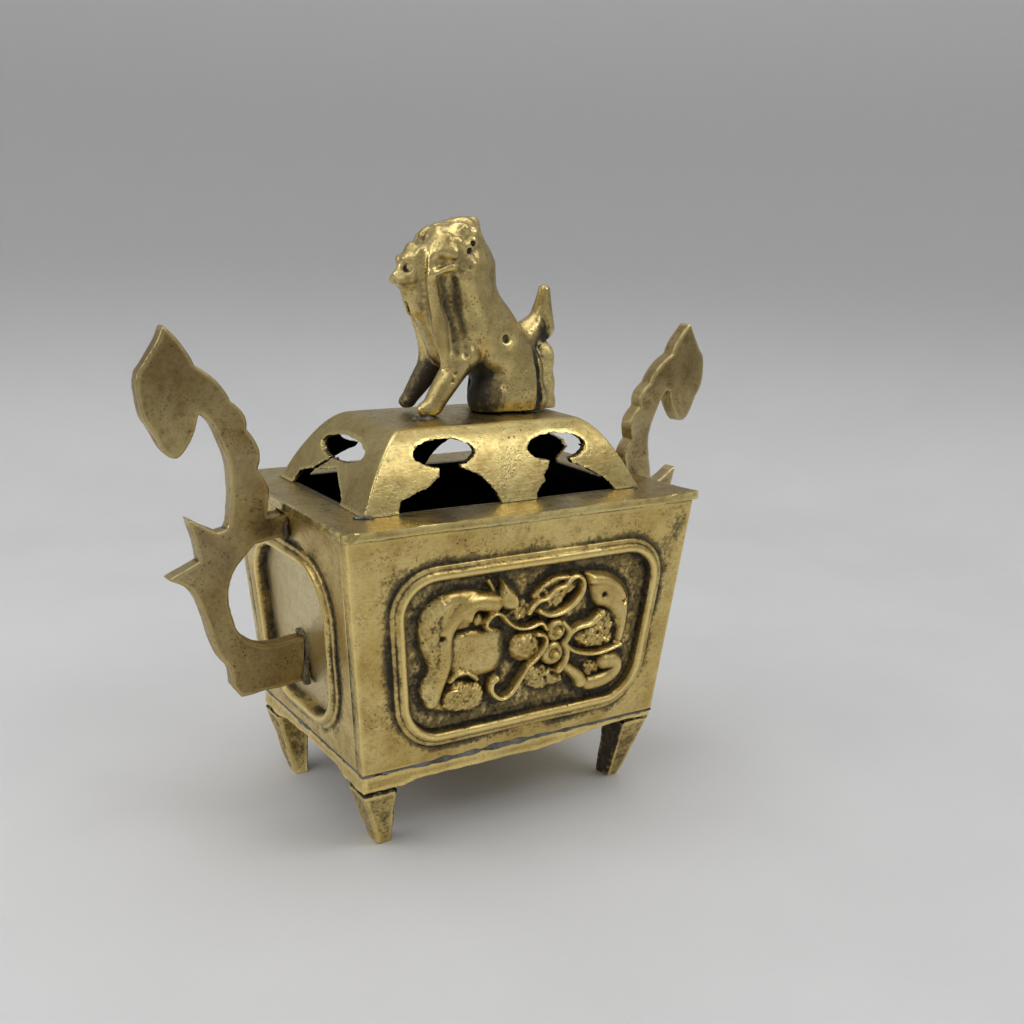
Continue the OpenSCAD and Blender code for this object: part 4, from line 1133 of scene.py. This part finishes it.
def handle_outline(head, shift):
    """Right handle seen from the front. head: share of the height above the spur; shift: along x."""
    inner = WALL_T / 2
    pts = [(half_w(71) - inner, 71), (48.2, 71)]
    for a, b, c in (
        ((47.9, 75.5), (47.4, 77.8), (50.1, 80.9)), ((50.1, 81.2), (48.6, 86.5), (52.4, 89.8)),
        ((52.4, 90.1), (52, 93.4), (56, 96)), ((56, 96.3), (57.4, 100), (62.9, 103.4)),
        ((63.2, 103.6), (64.6, 107.4), (68.8, 111.4)), ((69.2, 111), (71, 106.5), (74.2, 102.6)),
        ((74.4, 102), (75.8, 97), (72.9, 92)), ((72.6, 91.6), (69.8, 84.6), (67.4, 84.8)),
        ((67, 84.8), (64, 86.2), (62.6, 93.4)), ((61.8, 93.4), (58, 89.6), (56.2, 81)),
        ((56.1, 80), (55.8, 75), (56.6, 70)),
    ):
        pts += bend(a, b, c)
    pts += [(57.2, 68.8), (59.1, 68.3), (65.3, 71.7), (63.2, 62.4), (70, 59.4)]
    pts += bend((69.6, 59), (64.4, 57.6), (62.4, 49.6)) + bend((62.2, 49), (61, 41.6), (57.4, 37.8))
    pts += [(57, 36.6), (56.9, 33.4), (54.9, 30.8), (half_w(32) - inner, 32), (half_w(42.2) - inner, 42.2)]
    pts += bend((47, 41.4), (52.6, 41.2), (55.8, 46.8)) + bend((56, 47.4), (59.4, 57), (53.4, 62.6))
    pts += [(51, 65), (half_w(66) - inner, 66)]
    out = []
    for x, z in pts:
        rise = max(0.0, z - SPUR_Z)
        out.append((x + shift * min(1.0, rise / 8), z - rise * (1 - head)))
    return out


def handle(node, left, turn=0, head=1.0, shift=0.0):
    """One handle, turned in plan about its lugs by so many degrees."""
    outline = handle_outline(head, shift)

    def field(p):
        x, y, z = p
        edge = in_polygon(outline, x, z) + 0.12 * ripple((x, y * 0.4, z), 4, 71)
        thin = np.abs(y + 0.05 * ripple((x, y * 0, z), 9, 72)) - HANDLE_T / 2 + 0.1
        return rounded(edge, thin, 0.5)

    def move(places, faces):
        out = places - (LUG_X, 0, 0)
        if left:
            out = out * (-1, 1, 1) + (-LUG_X, 0, 0)
            return out, faces[:, ::-1]
        out = out @ np.array(Matrix.Rotation(math.radians(turn), 3, "Z")).T + (LUG_X, 0, 0)
        return out, faces

    def root(p):
        """Near 1 at the upper lug, where the neck starts."""
        return np.exp(-((p[:, 0] - 48.5) / 4.5) ** 2 - ((p[:, 2] - 69.5) / 6) ** 2)

    def sheen_and_darkening(p):
        # Pale painted sheen on the neck for light, darker towards the head and foot, and painted shade at
        # the lug.
        top = unit((p[:, 2] - 84) / 12)
        foot = unit((62 - p[:, 2]) / 10)
        return 0.25 - 0.6 * top - 0.35 * foot - 0.9 * root(p)

    # The lug is also darkened in the grime as painted shade.
    carve(node, field, (40, -3.2, 29.5), (76.5, 3.2, 112.5), 0.42, reach=0.9,
          extra_grime_and_shade=lambda p: 0.45 * root(p), tone=sheen_and_darkening, move=move)


handle("left_handle", True)
handle("right_handle", False, 5, 0.94, -1.0)


# ==== Solder: lumpy dabs in the place of the plain CAD ones
def solder_box(node, grow, seed):
    """Lumpy block on the box of the CAD piece, grown by so much on every side."""
    low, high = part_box(node)
    low, high = np.array(low) / MM, np.array(high) / MM
    mid, half = (low + high) / 2, (high - low) / 2

    def field(p):
        lump = 0.25 * ripple(p, 2.6, seed) + 0.12 * ripple(p, 1.2, seed + 1)
        q = [np.abs(p[k] - mid[k]) - half[k] - grow + lump for k in range(3)]
        return rounded(rounded(q[0], q[1], 0.6), q[2], 0.6)

    carve(node, field, low - 1, high + 1, 0.25)


def solder_drop(node, centre, radii, seed, floor=PLATE_Z):
    """Lumpy flattened drop, cut off at the floor it lies on."""
    def field(p):
        drop = egg(p, centre, radii) + 0.22 * ripple(p, 2, seed) + 0.1 * ripple(p, 1, seed + 1)
        return soft_max(drop, floor - 0.05 - p[2], 0.1)

    low, high = np.array(centre) - np.array(radii) - 1, np.array(centre) + np.array(radii) + 1
    carve(node, field, low, high, 0.2)


solder_drop("dome_front_left_solder", (-34.9, -22.1, 73.5), (1.6, 1.1, 0.5), 91)
solder_drop("dome_front_right_solder", (34.4, -21.9, 73.4), (0.9, 0.8, 0.4), 92)
solder_drop("dome_back_left_solder", (-34.3, 21.9, 73.4), (0.9, 0.8, 0.4), 93)
solder_drop("dome_back_right_solder", (34.4, 21.9, 73.4), (0.9, 0.8, 0.4), 94)
solder_drop("front_paw_solder", (-11.8, -5.2, 89.9), (3.0, 2.4, 0.8), 95, floor=88.9)
for number, node in enumerate(("left_handle_upper_solder", "left_handle_lower_solder",
                               "right_handle_upper_solder", "right_handle_lower_solder")):
    solder_box(node, -0.5 if "upper" in node else -0.35, 100 + 3 * number)

# The CAD pieces that still show take soot or their own brass
for name, ob in frame["nodes"].items():
    ob.data.materials.clear()
    hidden = name == "lid_locating_collar" or name.endswith("corner_solder")
    ob.data.materials.append(SOOTED if hidden else BRASS[SLOT_OF[name]])


# ==== Studio: a round pale cove with soft light from above
FLOOR_R, COVE_R, WALL_TOP = 0.27, 0.20, 0.9
FLOOR_GREYS, WALL_GREYS = ((0.67, 0.67, 0.67), (0.70, 0.70, 0.70)), ((0.41, 0.41, 0.41), (0.58, 0.58, 0.58))


def cove():
    """Floor that turns up into a round wall, far enough away for every view."""
    profile = [(0.0, 0.0), (0.06, 0.0), (0.16, 0.0), (FLOOR_R, 0.0)]
    for i in range(1, 13):
        a = math.pi / 2 * i / 12
        profile.append((FLOOR_R + COVE_R * math.sin(a), COVE_R * (1 - math.cos(a))))
    profile.append((FLOOR_R + COVE_R + 0.03, WALL_TOP))
    around = 96
    places, faces = [(0.0, 0.0, 0.0)], []
    for r, z in profile[1:]:
        for k in range(around):
            a = 2 * math.pi * k / around
            places.append((r * math.cos(a), r * math.sin(a), z))
    for k in range(around):
        faces.append((0, 1 + k, 1 + (k + 1) % around))
    for row in range(len(profile) - 2):
        for k in range(around):
            a, b = 1 + row * around + k, 1 + row * around + (k + 1) % around
            faces.append((a, a + around, b + around, b))
    mesh = bpy.data.meshes.new("cove")
    mesh.from_pydata(places, [], faces)
    mesh.polygons.foreach_set("use_smooth", [True] * len(faces))
    ob = bpy.data.objects.new("cove", mesh)
    bpy.context.scene.collection.objects.link(ob)
    net = Net("pale_paper")
    split = net.new("SeparateXYZ")
    net.put(split.inputs[0], net.coords)
    paper = net.mix(net.ramp(net.noise(60, 3, 0.5), 0.3, 0.7), *FLOOR_GREYS)
    # The floor is painted paler than the wall, and the wall darker low down and paler higher up: painted
    # light and shade on the backdrop.
    upper = net.ramp(split.outputs["Z"], -0.01, 0.12)
    high = net.mix(net.ramp(split.outputs["Z"], 0.14, 0.5), *WALL_GREYS)
    net.set("Base Color", net.mix(upper, paper, high))
    net.set("Roughness", 0.75)
    net.set("Normal", net.bump(net.noise(1.5, 3, 0.6), 0.05))
    mesh.materials.append(net.material)


cove()

# Each lamp: name, place, point it faces, width and height, power
LAMPS = (
    ("top", (0.02, 0.03, 0.85), (0, 0, 0), (0.8, 0.6), 2.75),
    ("left", (-0.50, -0.08, 0.40), (0, 0, 0.05), (0.4, 0.4), 1.4),
    ("low_left", (-0.44, 0.16, 0.16), (0, 0, 0.05), (0.3, 0.26), 0.9),
    ("front_right", (0.27, -0.37, 0.42), (0, 0, 0.08), (0.3, 0.3), 0.9),
)
for name, place, target, size, power in LAMPS:
    lamp = bpy.data.lights.new(name, "AREA")
    lamp.shape = "RECTANGLE"
    lamp.size, lamp.size_y = size
    lamp.energy = power
    ob = bpy.data.objects.new(name, lamp)
    ob.location = place
    ob.rotation_euler = (Vector(target) - Vector(place)).to_track_quat("-Z", "Y").to_euler()
    bpy.context.scene.collection.objects.link(ob)

world = bpy.data.worlds.new("studio")
bpy.context.scene.world = world
world.use_nodes = True
sky = world.node_tree.nodes["Background"]
sky.inputs["Color"].default_value = (0.92, 0.94, 1.0, 1)
sky.inputs["Strength"].default_value = 0.2

# ==== Camera at the photograph's angle
YAW, PITCH, ROLL = math.radians(32.79), math.radians(13.65), math.radians(1.76)
EYE, LENS, SENSOR = (-0.13762, -0.23677, 0.13302), 41.8, 36.0
ahead = np.array((math.sin(YAW) * math.cos(PITCH), math.cos(YAW) * math.cos(PITCH), -math.sin(PITCH)))
right = np.array((math.cos(YAW), -math.sin(YAW), 0.0))
up = np.cross(right, ahead)
right, up = math.cos(ROLL) * right + math.sin(ROLL) * up, math.cos(ROLL) * up - math.sin(ROLL) * right
camera = bpy.data.cameras.new("camera")
camera.lens, camera.sensor_width = LENS, SENSOR
eye = bpy.data.objects.new("camera", camera)
bpy.context.scene.collection.objects.link(eye)
place = Matrix.Identity(4)
for row in range(3):
    place[row] = (right[row], up[row], -ahead[row], EYE[row])
eye.matrix_world = place
bpy.context.scene.camera = eye
bpy.context.scene.view_settings.view_transform = "Standard"
